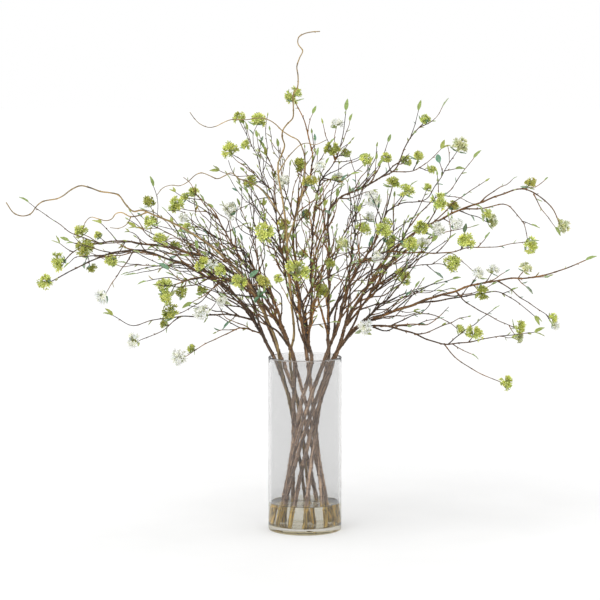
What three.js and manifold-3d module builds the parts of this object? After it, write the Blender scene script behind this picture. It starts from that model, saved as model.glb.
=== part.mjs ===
// Flowering branches and curly tendrils in a clear glass cylinder vase.
// Millimetres, +Z up. The origin is the centre of the vase's underside, and -Y is the front.
import * as THREE from "three";
import { mergeVertices } from "three/addons/utils/BufferGeometryUtils.js";
import Module from "manifold-3d";

const wasm = await Module();
wasm.setup();

// Driving dimensions
const CM = 10; // the plan below is written in centimetres
const VASE_RADIUS = 63.5;
const VASE_HEIGHT = 302;
const VASE_WALL = 4;
const VASE_FLOOR = 10; // thickness of the glass base
const VASE_CHAMFER = 1.6;
const VASE_SIDES = 36;
const RESIN_TOP = 47.5; // height of the clear set resin
const REST_GAP = 0.3; // what stands on or in another piece is this clear of it
const HOLE_GAP = 0.45; // round each stem in the resin

// The bundle in the vase: straight stems that lean past each other, like the rods of a twisted sheaf.
const OUTER_RING = { foot: 46, exit: 54, twist: 132 }; // radius at foot and rim, and turn in degrees
const CORE_RING = { foot: 22, exit: 28, twist: 140 };
const LEAN_AT_FOOT = 0.55; // share of the mean lean that a stem has at its foot
const VASE_STEPS = [70, 150, 225, VASE_HEIGHT];

const STEM_SIDES = 5;
const TWIG_SIDES = 3;
const STEM_TIP_RADIUS = 0.9;
const TWIG_ROOT_RADIUS = 0.75; // and more for each millimetre of its length
const TWIG_ROOT_GROWTH = 0.004;
const TAPER = 0.75; // below 1, a limb narrows faster near its root
const RIM_SHARE = 0.85; // of a stem's foot radius at the rim
const ROOT_SHARE = 0.9; // of its parent's radius that a side branch has at most
const TWIG_TIP_RADIUS = 0.6;
const STALK_RADIUS = 0.7;
const STALK_FLARE = 1.2; // of its radius at its root
const STALK_SLANT = 0.9; // how far back a stalk leaves the wood, as a share of its distance from it
const SLIVER = 0.12; // edges shorter than this are closed up after fusing
const MERGE_DISTANCE = 1e-4;
const LEAF_THICKNESS = 1.3;
const LEAF_FOLD = 0.5; // how far a leaf's edges stand above its midrib
// Along a leaf, and half its width there, as shares of its length
const LEAF_SECTIONS = [[0.3, 0.17], [0.68, 0.14]];
const LEAF_LEVEL = new THREE.Vector3(0, -0.35, 1); // leaves lie level, their faces a little to the front
const LEAF_ROLL = 1.2; // radians, from the least to the most
const BUD_SWELLING = [0.45, 0.14]; // along a bud, and its radius there, as shares of its length
const LEAF_GROUPS = { fork: [0.45, 2, 1], rosette: [1.1, 5, 0.62] }; // spread, leaves, share of the size
const DENSE_HEAD = 3.2; // from this size in centimetres a head has six florets of five petals
const SMALL_HEAD = 2.3; // below this size it has four florets of three petals, and between them five of four
const CORE_REACH = 0.5; // of the core's corners from a head's centre, as a share of its radius
const HEART_RISE = 0.06; // of a floret's middle over its corners
const PETAL_LEAN = 0.42; // how far a petal turns from its edge towards the middle of its floret
const PETAL_REACH = [0.92, 1.08]; // least and most, of the petals' tips
const HEAD_LIFT = new THREE.Vector3(0, -0.25, 0.7); // heads turn up and a little to the front
const NECK = 0.45; // how far below a head's centre its stalk ends, as a share of its radius

// The viewer that the plan's widths and heights are seen by, straight in front.
const EYE_X = -8.6;
const EYE_HEIGHT = 800;
const EYE_DISTANCE = 4000;

// Keeping the branches apart
const SAMPLE_STEP = 4;
const CLEARANCE = 2;
const SWING_STEP = 8;
const SWINGS = 15;
// The balls that stand for what a tip carries: how far ahead of the tip and how big, as shares of its size
const HEAD_BALLS = [[0, 0.52]];
const GROUP_BALLS = [[0.3, 0.6]];
const LEAF_BALLS = [[0.25, 0.25], [0.75, 0.25]];

// The plan of the branches, in centimetres as seen from the front: x to the right, z up from the table.
// A branch has the compass angle of its place at the rim, the ring it stands in, the radius of its foot,
// the depth of its tip (minus is to the front) and its stem's route above the rim as x, z, x, z…
// Its shoots follow, each as what it carries, that thing's size, how much deeper its tip lies than its
// root, and its route. A route of one point is a short stalk from the nearest wood.
const PLAN = [
  { name: "branch_left_low", angle: 184, ring: OUTER_RING, foot: 3.8, depth: -12, tip: ["lime", 2.8],
    stem: [-6.3, 31.8, -7.3, 33.8, -9.5, 37.8, -12, 40.8, -15, 43, -18, 44.6, -21, 46.2, -24, 47.3,
      -28, 48.5, -32, 48.4, -36.5, 46.9, -40, 45.2, -44.6, 43.2],
    shoots: [
      ["fork", 2, -3, [-8.7, 36.5, -12.5, 37.4, -19, 37.2, -26.5, 36.5, -29.5, 35.5, -33.1, 37.3]],
      ["white", 2.6, -2, [-21.8, 36.5, -25, 34.5, -28.3, 33.1, -29.5, 33]],
      ["olive", 3, -2, [-15.5, 42.2, -18.5, 39.4, -21.8, 37.6, -23.2, 37.8]],
      ["white", 2.8, -3, [-7.6, 34.2, -11.3, 35.1, -14, 33.9, -18, 31.9, -21.6, 30]],
      ["lime", 1.5, 0.5, [-19.6, 31.6]],
      ["white", 2.9, -2, [-13.4, 41.8, -14.8, 40.3, -15.9, 38.9, -17.6, 37.8]],
      ["white", 1.8, -1, [-14.3, 39.9]],
      ["teal", 2.4, 1, [-13, 36.2]],
      ["olive", 1.6, 1, [-24.3, 35.8]],
      ["white", 2.5, -2, [-29.5, 48.5, -31.5, 45.4, -33, 43.3, -35, 40.7]],
      ["leaf", 2.2, -1, [-22, 46.6, -24, 45.8, -26, 45.2, -29, 44.6]],
      ["leaf", 1.6, -2, [-9.5, 37.8, -14, 40.6, -18.5, 42.6, -22.6, 44.2]],
      ["fork", 1.6, 2, [-12, 40.8, -15.5, 45.2, -19.5, 47.6, -23.5, 49.4]],
    ] },
  { name: "branch_left_mid", angle: 145, ring: OUTER_RING, foot: 4, depth: 4, tip: ["lime", 3],
    stem: [-5.7, 34, -7.5, 38.5, -10, 42.5, -13, 45.2, -17, 47.3, -22, 48.8, -27, 49.6, -32, 50.2,
      -36, 49.7, -39.6, 48.5, -42.3, 46.6],
    shoots: [
      ["olive", 3.2, -1.5, [-37.8, 49]],
      ["lime", 1.6, 0.5, [-35.6, 51.1]],
      ["lime", 2.5, 1, [-38.5, 51.8]],
      ["leaf", 2, 1.5, [-40.6, 50.2]],
      ["fork", 1.6, -1, [-39.9, 48.3, -41, 48.9, -42.2, 49.8]],
      ["leaf", 2, -3, [-35.4, 49.8, -39.7, 51.4, -42, 52.9, -45, 55, -47.4, 56.8]],
      ["fork", 1.8, 2, [-32.3, 50.2, -33.6, 51.8, -35, 53.2]],
      ["lime", 2.5, -2, [-33.3, 46.9]],
      ["olive", 1.8, 1, [-36.8, 45.6]],
      ["teal", 2.4, 2, [-37.8, 46.6]],
      ["leaf", 1.6, 3, [-10, 42.5, -14.5, 44.2, -20, 45.4, -25.6, 45.9, -30.3, 44.8]],
      ["lime", 1.6, -3, [-13, 45.2, -17.5, 49.2, -20.3, 52.6]],
      ["lime", 2.8, 10.5, [-7.5, 38.5, -9.5, 43, -13, 46.3, -17, 48.5, -21, 50.2, -24, 51.8, -26.5, 53.3]],
      ["olive", 2.4, 1, [-25.4, 52.8, -26, 55, -26.8, 56.8]],
      ["leaf", 2, -1, [-25, 53.4, -25.3, 57.5, -26, 59.6]],
      ["lime", 2.2, -2, [-24.8, 50.6]],
      ["dark", 2.2, -2, [-16, 48.6, -17.3, 50.3, -19.2, 51.2]],
      ["olive", 1.8, 2, [-22.4, 49.4]],
      ["teal", 2.4, 2, [-22.3, 47.6]],
      ["fork", 2, 1, [-25.6, 52.7, -27.4, 52.3, -29, 52.6]],
      ["leaf", 1.8, 2, [-21, 51.8]],
      ["leaf", 1.6, 2, [-9.5, 43, -14, 47.9, -17.2, 53.2]],
    ] },
  { name: "branch_left_tall", angle: 116, ring: OUTER_RING, foot: 3.5, depth: 22, tip: ["lime", 2.2],
    stem: [-3.7, 35, -5.5, 40, -7.5, 44, -10.3, 46.2, -12, 48.8, -14, 52.3, -16, 55.8, -19, 58.6],
    shoots: [
      ["lime", 3, -4, [-15, 54, -17, 55.2, -20, 55.5, -22, 56.3]],
      ["lime", 1.6, -1, [-20.6, 57.8]],
      ["white", 2, -5, [-8.6, 44.8, -10.5, 48.5, -14.5, 50.5, -17, 52, -20.8, 54]],
      ["teal", 2.8, 1, [-13.4, 48.8]],
      ["leaf", 2, 1.5, [-12.9, 54]],
      ["leaf", 2, 2, [-10.8, 52.9]],
      ["bud", 1.2, -2, [-5.5, 40, -9.5, 44.6, -13.6, 47.2, -18.6, 51.6]],
      ["leaf", 1.6, 2, [-7.5, 44, -9, 50.6, -11.2, 56.2]],
    ] },
  { name: "branch_front_left", angle: 250, ring: OUTER_RING, foot: 3.7, depth: -20, tip: ["lime", 2.6],
    stem: [-3.1, 33, -5.3, 36.8, -8, 40, -12, 43, -16, 44, -19, 43.8, -22, 42.8, -24.2, 42.6],
    shoots: [
      ["lime", 2.2, -2, [-23.9, 40.6]],
      ["olive", 2, -2, [-21.3, 41.4]],
      ["leaf", 2, -2, [-14, 43.7, -17, 41, -19.5, 39.6]],
      ["olive", 1.8, 2, [-17.8, 41.6]],
      ["lime", 2.4, -1, [-17.8, 46.2]],
      ["white", 2, 1.5, [-16, 46]],
      ["lime", 2, -2, [-14.6, 45.2]],
      ["teal", 2.6, 2, [-23.5, 45.2]],
      ["lime", 2.6, -3, [-11.3, 43.2]],
      ["teal", 2.6, 2, [-9.5, 43.9]],
      ["gold", 2.4, -2, [-7.2, 43.2]],
      ["rosette", 3, -4, [-7.9, 40.6]],
      ["leaf", 1.6, -2, [-5.3, 36.8, -9.5, 38.9, -13.5, 40.6]],
      ["fork", 1.6, 3, [-12, 43, -16.5, 46.9, -20, 47.6]],
    ] },
  { name: "branch_centre_tall", angle: 87, ring: OUTER_RING, foot: 4, depth: 24, tip: ["lime", 3.2],
    stem: [-0.8, 38, -1.5, 45, -2, 50, -1.8, 54, -0.5, 58, 0.8, 61, 1.3, 64.5, 0.6, 68, 0, 70.5,
      -2, 75],
    shoots: [
      ["leaf", 1.8, 2, [0.4, 68.6, 0.7, 70.7, 1.3, 72]],
      ["olive", 2.8, -3, [-0.8, 63.2]],
      ["leaf", 2, -2, [-3, 55.4]],
      ["olive", 2, 2, [0.2, 54.6]],
      ["olive", 1.8, -2, [-3.2, 48.6]],
      ["lime", 1.8, 2, [-0.4, 47.9]],
      ["leaf", 1.6, 2, [-1.5, 45, 0.6, 50.2, 1.8, 55.2]],
      ["leaf", 1.6, -3, [-1.8, 54, -3.6, 59.6, -4.6, 66.4]],
      ["lime", 3, 4, [-0.7, 37, -2.6, 41, -3.5, 45, -3.9, 48, -4.8, 53, -5.3, 57, -6.5, 59.5, -8.5, 61.5,
        -10.5, 63.8, -12.9, 65.7]],
      ["lime", 2.4, 2, [-7.2, 60.2, -8, 64, -9.3, 67, -11.3, 71.2]],
      ["lime", 2.8, -2, [-8.8, 65.6, -8.9, 68, -8, 70.9]],
      ["lime", 1.6, -1, [-10.2, 66.8]],
      ["olive", 2.2, -2, [-9.4, 60.4]],
      ["fork", 1.8, -2, [-8.6, 61.4, -11.5, 61.3, -13.3, 61.7, -14.7, 62.3]],
      ["leaf", 2.2, 2, [-5.2, 56.5, -5.4, 61, -6, 63.8, -7, 66]],
      ["teal", 2.6, -1, [-5.4, 55, -6.4, 57.5]],
      ["white", 2.4, -2, [-3.8, 60.4]],
      ["white", 3, 2, [-5.5, 57.6, -7, 57.6, -8.5, 57.2, -12.6, 55.5]],
      ["gold", 2.2, -2.5, [-3.6, 53]],
      ["lime", 1.8, 2, [-3.3, 51]],
      ["leaf", 1.8, 2, [-10.5, 62.2]],
      ["leaf", 1.6, -2, [-3.9, 48, -6.5, 52.6, -9.8, 58.4]],
      ["bud", 1.2, 2, [-4.8, 53, -3.2, 57.6, -2.6, 63]],
    ] },
  { name: "branch_front", angle: 282, ring: OUTER_RING, foot: 3.9, depth: -27, tip: ["lime", 3.2],
    stem: [0.4, 33, -0.1, 36.5, -0.7, 40, -1.7, 43, -3.2, 46.5, -5, 49.2, -6.8, 51.6],
    shoots: [
      ["lime", 3.6, -3, [-1.2, 45]],
      ["olive", 2.6, -4, [2.9, 41.5]],
      ["teal", 2.4, -1, [0.9, 35.6]],
      ["leaf", 2, -3, [0.1, 35.5, 2.2, 35.7, 4.4, 36.1]],
      ["pale", 2.2, -6, [-0.5, 38.5, 1.2, 42.5, 4, 47, 6.5, 49.8]],
      ["olive", 1.8, -1, [4.3, 46.3]],
      ["leaf", 2, -9, [-0.6, 39.5, 2, 42.7, 4, 44, 6, 45, 8, 46.2]],
      ["lime", 1.6, -2, [-0.1, 36.5, -2.6, 39.6, -4.6, 43.6]],
      ["leaf", 2, 0, [0.4, 33, 1, 36.5, 1.2, 40, 1, 45, 1.2, 50, 1.7, 55, 2.3, 59, 3.3, 61.5, 4.8, 63.4,
        6.1, 66.5, 6.7, 70, 7, 72.6]],
      ["gold", 2.4, -1.5, [0.9, 60.3]],
      ["olive", 2.8, -2, [4.5, 65.9]],
      ["olive", 1.8, 2, [6.9, 65.2]],
      ["bud", 1.2, 1, [4.9, 64.2, 4.1, 67, 3.4, 69, 3.1, 70.2]],
      ["white", 2.2, 1.5, [5.3, 65, 5, 67.8, 5.4, 70.2]],
      ["leaf", 2.2, -2, [1.9, 56, 3.4, 57.3, 5.2, 58.8]],
      ["teal", 2.2, 2, [3.3, 55.4]],
      ["white", 2.2, -2, [2.5, 63]],
      ["white", 2, 1, [5.6, 61]],
      ["lime", 2.2, -3, [3.1, 61, 6, 60.6, 8.7, 62.1, 10.5, 64]],
      ["leaf", 1.8, 3, [5, 63.8, 7.6, 63.9, 9.3, 64.6]],
      ["leaf", 1.6, 2, [1, 45, 2.6, 50.4, 4.6, 55.2]],
    ] },
  { name: "branch_right_tall", angle: 40, ring: OUTER_RING, foot: 3.9, depth: 20, tip: ["lime", 2.2],
    stem: [4, 33.5, 4, 36.8, 4.1, 42, 4.2, 46, 4, 51, 4.2, 55.6, 5.5, 57.3, 9.5, 59.2, 12.5, 60.8,
      15.5, 62.6, 17, 66, 18.3, 68.3, 20.5, 70.9],
    shoots: [
      ["lime", 2.2, -2, [14, 64.4]],
      ["lime", 2, 2, [17.4, 63.9]],
      ["leaf", 2, 1, [18, 67.8, 18.9, 70.4, 19.4, 72.6]],
      ["leaf", 2, -1, [19.7, 69.9, 22, 70.9, 23.5, 73.2]],
      ["fork", 2, 3, [14.8, 62, 18, 62.2, 20.4, 63.2, 22, 64.7, 23.3, 66]],
      ["lime", 2.2, -1, [19.4, 64.7]],
      ["lime", 1.8, 1, [21.6, 62.4]],
      ["leaf", 1.6, -2, [4.2, 46, 6.2, 50.6, 9.4, 55.8]],
      ["bud", 1.2, 2, [4, 51, 2.8, 55.8, 2.4, 60.4]],
      ["leaf", 1.6, 2, [9.5, 59.2, 12.6, 62.8, 14.2, 67.2]],
      ["leaf", 2, 2, [4, 36.8, 5.2, 39, 6.5, 41, 7.2, 43.5, 8, 47, 8.5, 51, 8.7, 54.5, 9.5, 58.5,
        10.8, 60.9, 12.5, 63]],
      ["white", 3.3, -3, [11.4, 57.3]],
      ["white", 2, 2, [11, 54.2]],
      ["lime", 2.4, -1.5, [10.2, 52.4]],
    ] },
  { name: "branch_right_front", angle: 308, ring: OUTER_RING, foot: 4, depth: -12, tip: ["olive", 2.4],
    stem: [4.6, 32.8, 5.8, 36, 6.6, 39.5, 8, 43.5, 10.5, 47.7, 12, 50, 13.5, 54, 14.2, 56.5, 15.1, 60.2],
    shoots: [
      ["lime", 2.8, -2, [13.6, 52.3]],
      ["leaf", 2, 1, [14.9, 51]],
      ["pale", 3, -5, [13.8, 55.2, 17, 56.8, 20.6, 57.3, 22.4, 59.6, 24, 62.5, 26.4, 66.4]],
      ["lime", 2.4, -1.5, [17.4, 58.9]],
      ["lime", 2.8, -3, [19.5, 57.1, 22.9, 57]],
      ["teal", 2.6, 2, [23.1, 63.6]],
      ["leaf", 2, 1, [25.8, 62.6]],
      ["white", 2, -2, [12.4, 47.4]],
      ["leaf", 2, -3, [9.8, 46.6, 14, 48.3, 18, 48.2, 22, 48.1, 25, 48.3, 29, 49.1, 33, 49.2,
        35.5, 49.7, 38.3, 50.1]],
      ["lime", 3.2, -2, [27.6, 50.1]],
      ["dark", 2, 2, [27.4, 51.6]],
      ["leaf", 2, 2, [31, 50.6]],
      ["leaf", 2, 2, [21.8, 50]],
      ["lime", 2.6, -2, [18.2, 49.7]],
      ["lime", 2.2, 1, [14.6, 50]],
      ["teal", 2.6, 1, [16, 50.2]],
      ["white", 2.4, 2, [20, 49.8]],
      ["bud", 1.2, -2, [22.6, 48.2, 24.2, 49.8, 25.1, 51.5, 24.7, 54.3]],
      ["leaf", 1.6, 3, [6.6, 39.5, 11, 44.2, 15.6, 47.2]],
      ["leaf", 1.6, -2, [10.5, 47.7, 14.2, 51.2, 18.8, 54.4]],
    ] },
  { name: "branch_right_long", angle: 8, ring: OUTER_RING, foot: 4, depth: 2, tip: ["pale", 2.4],
    stem: [6.6, 34.3, 8.6, 39, 11, 42.5, 12.5, 45, 15.5, 49, 18, 51, 22, 53.3, 27, 55.7, 30, 56.8,
      33, 57.9, 37.3, 59.2, 40.3, 57.8, 42.5, 55.8, 44.3, 52.8],
    shoots: [
      ["leaf", 1.8, -2, [39.2, 58.2, 41, 55.2, 43, 52.6]],
      ["gold", 2.2, -1.5, [38.6, 60]],
      ["lime", 2.8, -3, [27, 55.6, 31, 55.9, 34, 56.5, 35.6, 55.7, 37.5, 53.3, 38.8, 49.5]],
      ["leaf", 2, 1, [38.9, 53]],
      ["lime", 1.8, -1, [31.2, 54.9]],
      ["pale", 2.4, 2, [26.5, 55.4, 29.5, 54.3, 32, 53.6]],
      ["gold", 2, 1.5, [25.4, 56.2]],
      ["white", 2.4, -2, [25.8, 53.2]],
      ["white", 2.4, -2, [22.8, 52.2]],
      ["leaf", 2, 1, [21, 51.4]],
      ["leaf", 1.6, -2, [11, 42.5, 16.5, 47.8, 22.5, 51.2, 28.5, 52.6]],
      ["bud", 1.2, 2, [22, 53.3, 26.6, 57.6, 30.8, 60.4]],
      ["leaf", 2.2, 11, [7.2, 35.7, 8.8, 37.6, 10.9, 40.5, 13.5, 44.5, 15, 47, 17, 51, 18.5, 53.3,
        20, 55.3, 22.5, 57.6, 24.8, 58.8, 26.5, 61.3, 28.9, 64.4]],
      ["leaf", 2, 2, [23.4, 58.2, 26, 57.7, 28.8, 56.6]],
      ["lime", 2.6, -2, [20, 52.4]],
      ["lime", 3.4, -3, [11.4, 41.5, 15, 44.4, 19, 45.8, 23, 46.3, 25.3, 46.2]],
      ["teal", 2.4, 1, [22.3, 44.9]],
      ["leaf", 1.8, 2, [21.8, 46.3, 25, 48, 27.2, 46.6, 28.7, 45.2]],
      ["leaf", 1.6, 2, [10.7, 40.5, 15.4, 44, 20.4, 47.6, 24.8, 50.6]],
      ["lime", 1.6, -2, [17, 51, 19.4, 55.6, 21, 59.4]],
    ] },
  { name: "branch_right_low", angle: 334, ring: OUTER_RING, foot: 3.9, depth: -14, tip: ["leaf", 2],
    stem: [6.9, 33, 8.6, 34.9, 10.6, 36.2, 15, 37.9, 18, 39, 22, 40.4, 26, 41.6, 29.5, 42.7,
      35.5, 43.7, 38, 43.8, 42, 44.5, 46, 45.9, 48.3, 46.9],
    shoots: [
      ["olive", 2.4, -1, [30.6, 41.4]],
      ["dark", 2.2, 1, [38, 42.4]],
      ["pale", 2.2, -1, [38, 45.6]],
      ["white", 2.2, -1, [29.8, 44.6]],
      ["white", 2, 1, [32.4, 45.2]],
      ["fork", 1.8, -2, [19.4, 39.4, 24.5, 40.1, 30, 41.1, 33.5, 41.3, 36, 40.1, 39.6, 37.2]],
      ["leaf", 1.8, 1, [35.4, 41.6]],
      ["lime", 1.8, -3, [33.2, 43.4, 35.3, 42, 38, 39.8, 41.5, 37.6, 42.7, 36.9]],
      ["white", 1.6, 1, [43.1, 35.6]],
      ["lime", 2.4, 3, [26, 41.5, 27.6, 39.8, 30, 38.2, 34, 36.2, 37, 35.2]],
      ["pale", 1.8, 1, [36.9, 33.4]],
      ["lime", 2.8, 4, [10, 36, 12.2, 38.9, 14, 41.8, 17, 43.8]],
      ["leaf", 2, 4, [12.4, 39, 16, 40.6, 20, 42.1, 22.2, 42.9]],
      ["fork", 2, -4, [9.3, 35.2, 14, 35.5, 18, 34.4, 22, 32.9, 24.5, 32.3, 28, 32.7, 33, 33.6,
        39.6, 34.4]],
      ["lime", 2.8, -1, [29.2, 34.2]],
      ["lime", 1.6, 1, [14.6, 35.6, 18, 37.1, 20, 37.6, 22, 37.4, 24.8, 36.2, 26.7, 35]],
      ["lime", 2.4, -3, [24, 32.4, 26, 30, 30, 27.4, 34.8, 25.7]],
      ["leaf", 1.8, 2, [25.5, 32.2, 27, 31.4, 28.8, 30.6]],
      ["white", 2.6, -3, [10.2, 35.2]],
      ["leaf", 1.6, 2, [15, 37.9, 20, 41.8, 25.4, 43.6]],
      ["leaf", 1.6, -2, [8.6, 34.9, 13, 38.9, 18.4, 41.4, 22.6, 41.6]],
    ] },
  { name: "willow_left", angle: 216, ring: OUTER_RING, foot: 3, depth: -16, tip: ["bare", 0],
    stem: [-5, 33, -7.2, 38, -9.8, 42.8, -13.5, 47, -18, 50.6, -22.5, 53.2, -26, 54.7, -28, 55.5,
      -29.5, 55.3, -30.8, 56.5, -32, 58.1, -33.5, 58.5, -35, 58.7, -37, 59.4, -38.5, 59.7, -40, 59.1,
      -41.5, 58, -42.5, 57.5, -45, 57, -46, 56.3, -47.1, 54.9, -48.5, 54.5, -50, 55, -51.3, 56.8],
    shoots: [
      ["bare", 0, -3, [-27.2, 55.1, -28.5, 54.6, -30, 54.4, -31.5, 55.1, -32.5, 54.9, -33.2, 54,
        -34.2, 53.7, -35.5, 54, -36.8, 54.3, -37.7, 53.5, -38.2, 52.2]],
      ["bare", 0, 2, [-29.9, 54.4, -30.3, 53.5, -31, 52.8, -32, 52.4, -33.5, 52.5]],
    ] },
  { name: "willow_top", angle: 200, ring: CORE_RING, foot: 2.9, depth: 4, tip: ["bare", 0],
    stem: [-1.9, 34, -2.4, 40, -2.9, 46, -3.2, 52, -3.8, 57, -4.5, 61, -4.6, 63.5, -3.9, 65.3,
      -3.5, 66.6, -3.9, 68, -3.8, 69.2, -3.1, 70.2, -2.1, 71.3, -2, 73, -2, 75.4, -1.3, 76.5,
      -1.2, 78.5, -1.4, 80, -0.9, 81.6, -0.4, 82.7, -1.2, 83.9, -1.1, 85, -0.2, 85.6, 1, 85.9, 2.5, 86],
    shoots: [
      ["bare", 0, -9, [-3.1, 50, -1.4, 55, -0.2, 60, 0, 64, -0.4, 66, -1.2, 67.5, -2.5, 68.2,
        -4, 69.2, -5, 70.2, -6.3, 71, -8, 71.3, -10, 71, -12.7, 71, -14, 70.5, -15.2, 69.9,
        -16.5, 69.7, -18, 70.3, -19, 71.3, -19.7, 72.3]],
      ["bare", 0, -8, [-3.3, 53, -5.5, 56.6, -7.8, 59.4, -10, 60.5, -11.3, 60.9, -12.6, 61.9,
        -13.8, 61.4, -15, 60.9, -16.5, 61.5, -17.7, 61.9, -18.7, 61.6, -20.2, 60.3, -21.5, 59.7,
        -23, 59.8, -24.4, 59.3, -25.5, 58]],
      ["bare", 0, 3, [-4.4, 62, -3, 64.5, -2, 65.6, -0.8, 66.7, 0.4, 67, 1.6, 66.7, 3.8, 67.6]],
    ] },
];

const WOOD = { color: 0x5b4335, roughness: 0.85, metalness: 0 };
const FOLIAGE = { color: 0x8f9a4e, roughness: 0.8, metalness: 0 };
const GLASS = { color: 0xdfe6e4, roughness: 0.05, metalness: 0, transparent: true, opacity: 0.35 };
const RESIN = { color: 0xd9d2bd, roughness: 0.08, metalness: 0, transparent: true, opacity: 0.45 };

/** Repeatable random numbers from 0 to 1: each is the last one times 16807, kept below a large prime. */
function dice(seed) {
  let state = (seed * 7919 + 12345) % 2147483647;
  return () => {
    state = (state * 16807) % 2147483647;
    return state / 2147483647;
  };
}

const radians = THREE.MathUtils.degToRad;
const lerp = THREE.MathUtils.lerp;

/** The point at this depth on the line of sight through (x, z) of the plane through the vase's axis. */
function onSight(x, z, depth) {
  const share = (EYE_DISTANCE + depth) / EYE_DISTANCE;
  return new THREE.Vector3(EYE_X + (x - EYE_X) * share, depth, EYE_HEIGHT + (z - EYE_HEIGHT) * share);
}

/** Where a stem is at a height inside the vase. */
function inVase({ angle, ring }, height) {
  const part = height / VASE_HEIGHT;
  const share = LEAN_AT_FOOT * part + (1 - LEAN_AT_FOOT) * part * part;
  const exit = radians(angle);
  const foot = radians(angle - ring.twist);
  return new THREE.Vector3(
    lerp(ring.foot * Math.cos(foot), ring.exit * Math.cos(exit), share),
    lerp(ring.foot * Math.sin(foot), ring.exit * Math.sin(exit), share),
    height,
  );
}

/** The points of a route as seen from the front, in millimetres. */
function seenRoute(route) {
  const points = [];
  for (let i = 0; i < route.length; i += 2) points.push(new THREE.Vector2(route[i] * CM, route[i + 1] * CM));
  return points;
}

/** A limb from its root outwards: seen points, points in space and radii, its depth changing evenly. */
function limbAlong(root, seen, depth, rootRadius, tipRadius) {
  let length = 0;
  const lengths = [0];
  for (let i = 0; i < seen.length; i += 1) {
    length += seen[i].distanceTo(i ? seen[i - 1] : root.seen);
    lengths.push(length);
  }
  const limb = { seen: [root.seen, ...seen], points: [root.point], radii: [] };
  seen.forEach((spot, i) => {
    limb.points.push(onSight(spot.x, spot.y, root.point.y + depth * (lengths[i + 1] / length)));
  });
  limb.radii = lengths.map((along) => lerp(rootRadius, tipRadius, (along / length) ** TAPER));
  return limb;
}

/** The stem: straight rods in the vase, then its route in the open. */
function growStem(branch) {
  const heights = [VASE_FLOOR + REST_GAP, ...VASE_STEPS];
  const inside = heights.map((height) => inVase(branch, height));
  const exit = inside.pop();
  const eyeShare = EYE_DISTANCE / (EYE_DISTANCE + exit.y);
  const exitSeen = new THREE.Vector2(
    EYE_X + (exit.x - EYE_X) * eyeShare,
    EYE_HEIGHT + (exit.z - EYE_HEIGHT) * eyeShare,
  );
  const rimRadius = branch.foot * RIM_SHARE;
  const root = { seen: exitSeen, point: exit };
  const depth = branch.depth * CM - exit.y;
  const limb = limbAlong(root, seenRoute(branch.stem), depth, rimRadius, STEM_TIP_RADIUS);
  const insideRadii = inside.map((point) => lerp(branch.foot, rimRadius, point.z / VASE_HEIGHT));
  return { ...limb, inside, insideRadii };
}

/** The place on a branch's wood that is seen nearest to a spot, moved back along the wood by a length. */
function nearestWood(limbs, spot, back) {
  let best = { distance: Infinity };
  limbs.forEach((limb) => {
    let along = 0;
    for (let i = 1; i < limb.seen.length; i += 1) {
      const from = limb.seen[i - 1];
      const step = limb.seen[i].clone().sub(from);
      const share = THREE.MathUtils.clamp(spot.clone().sub(from).dot(step) / step.lengthSq(), 0, 1);
      const distance = from.clone().addScaledVector(step, share).distanceTo(spot);
      if (distance < best.distance) best = { distance, limb, along: along + share * step.length() };
      along += step.length();
    }
  });
  return woodAt(best.limb, Math.max(best.along - back * best.distance, 0));
}

/** The place at a seen length along a limb, with the limb's radius there. */
function woodAt(limb, along) {
  let rest = along;
  let i = 1;
  while (i < limb.seen.length - 1 && rest > limb.seen[i].distanceTo(limb.seen[i - 1])) {
    rest -= limb.seen[i].distanceTo(limb.seen[i - 1]);
    i += 1;
  }
  const share = Math.min(rest / limb.seen[i].distanceTo(limb.seen[i - 1]), 1);
  return {
    seen: limb.seen[i - 1].clone().lerp(limb.seen[i], share),
    point: limb.points[i - 1].clone().lerp(limb.points[i], share),
    radius: lerp(limb.radii[i - 1], limb.radii[i], share),
  };
}

const isHead = (kind) => ["lime", "white", "olive", "pale", "gold"].includes(kind);

/** What a limb carries at its tip. Under a flower head the wood ends in the foot of the head's core. */
function withTip(limb, kind, size) {
  const tip = limb.points.at(-1);
  const course = tip.clone().sub(limb.points.at(-2)).normalize();
  if (!isHead(kind)) return { ...limb, kind, size, tip, course };
  const axis = course.clone().add(HEAD_LIFT).normalize();
  const neck = tip.clone().addScaledVector(axis, (-NECK * size * CM) / 2);
  return { ...limb, points: [...limb.points.slice(0, -1), neck], kind, size, tip, course: axis };
}

/** One shoot with a given change of depth: a limb that starts in its parent's middle. */
function growShoot(limbs, [kind, size, , route], depth) {
  const seen = seenRoute(route);
  if (seen.length === 1) {
    const end = seen[0];
    const root = nearestWood(limbs, end, STALK_SLANT);
    const rootRadius = Math.min(STALK_RADIUS * STALK_FLARE, root.radius);
    return withTip(limbAlong(root, [end], depth, rootRadius, STALK_RADIUS), kind, size);
  }
  const root = nearestWood(limbs, seen[0], 0);
  const length = seen.slice(1).reduce((sum, spot, i) => sum + spot.distanceTo(seen[i]), 0);
  const rootRadius = Math.min(root.radius * ROOT_SHARE, TWIG_ROOT_RADIUS + TWIG_ROOT_GROWTH * length);
  return withTip(limbAlong(root, seen.slice(1), depth, rootRadius, TWIG_TIP_RADIUS), kind, size);
}

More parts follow.
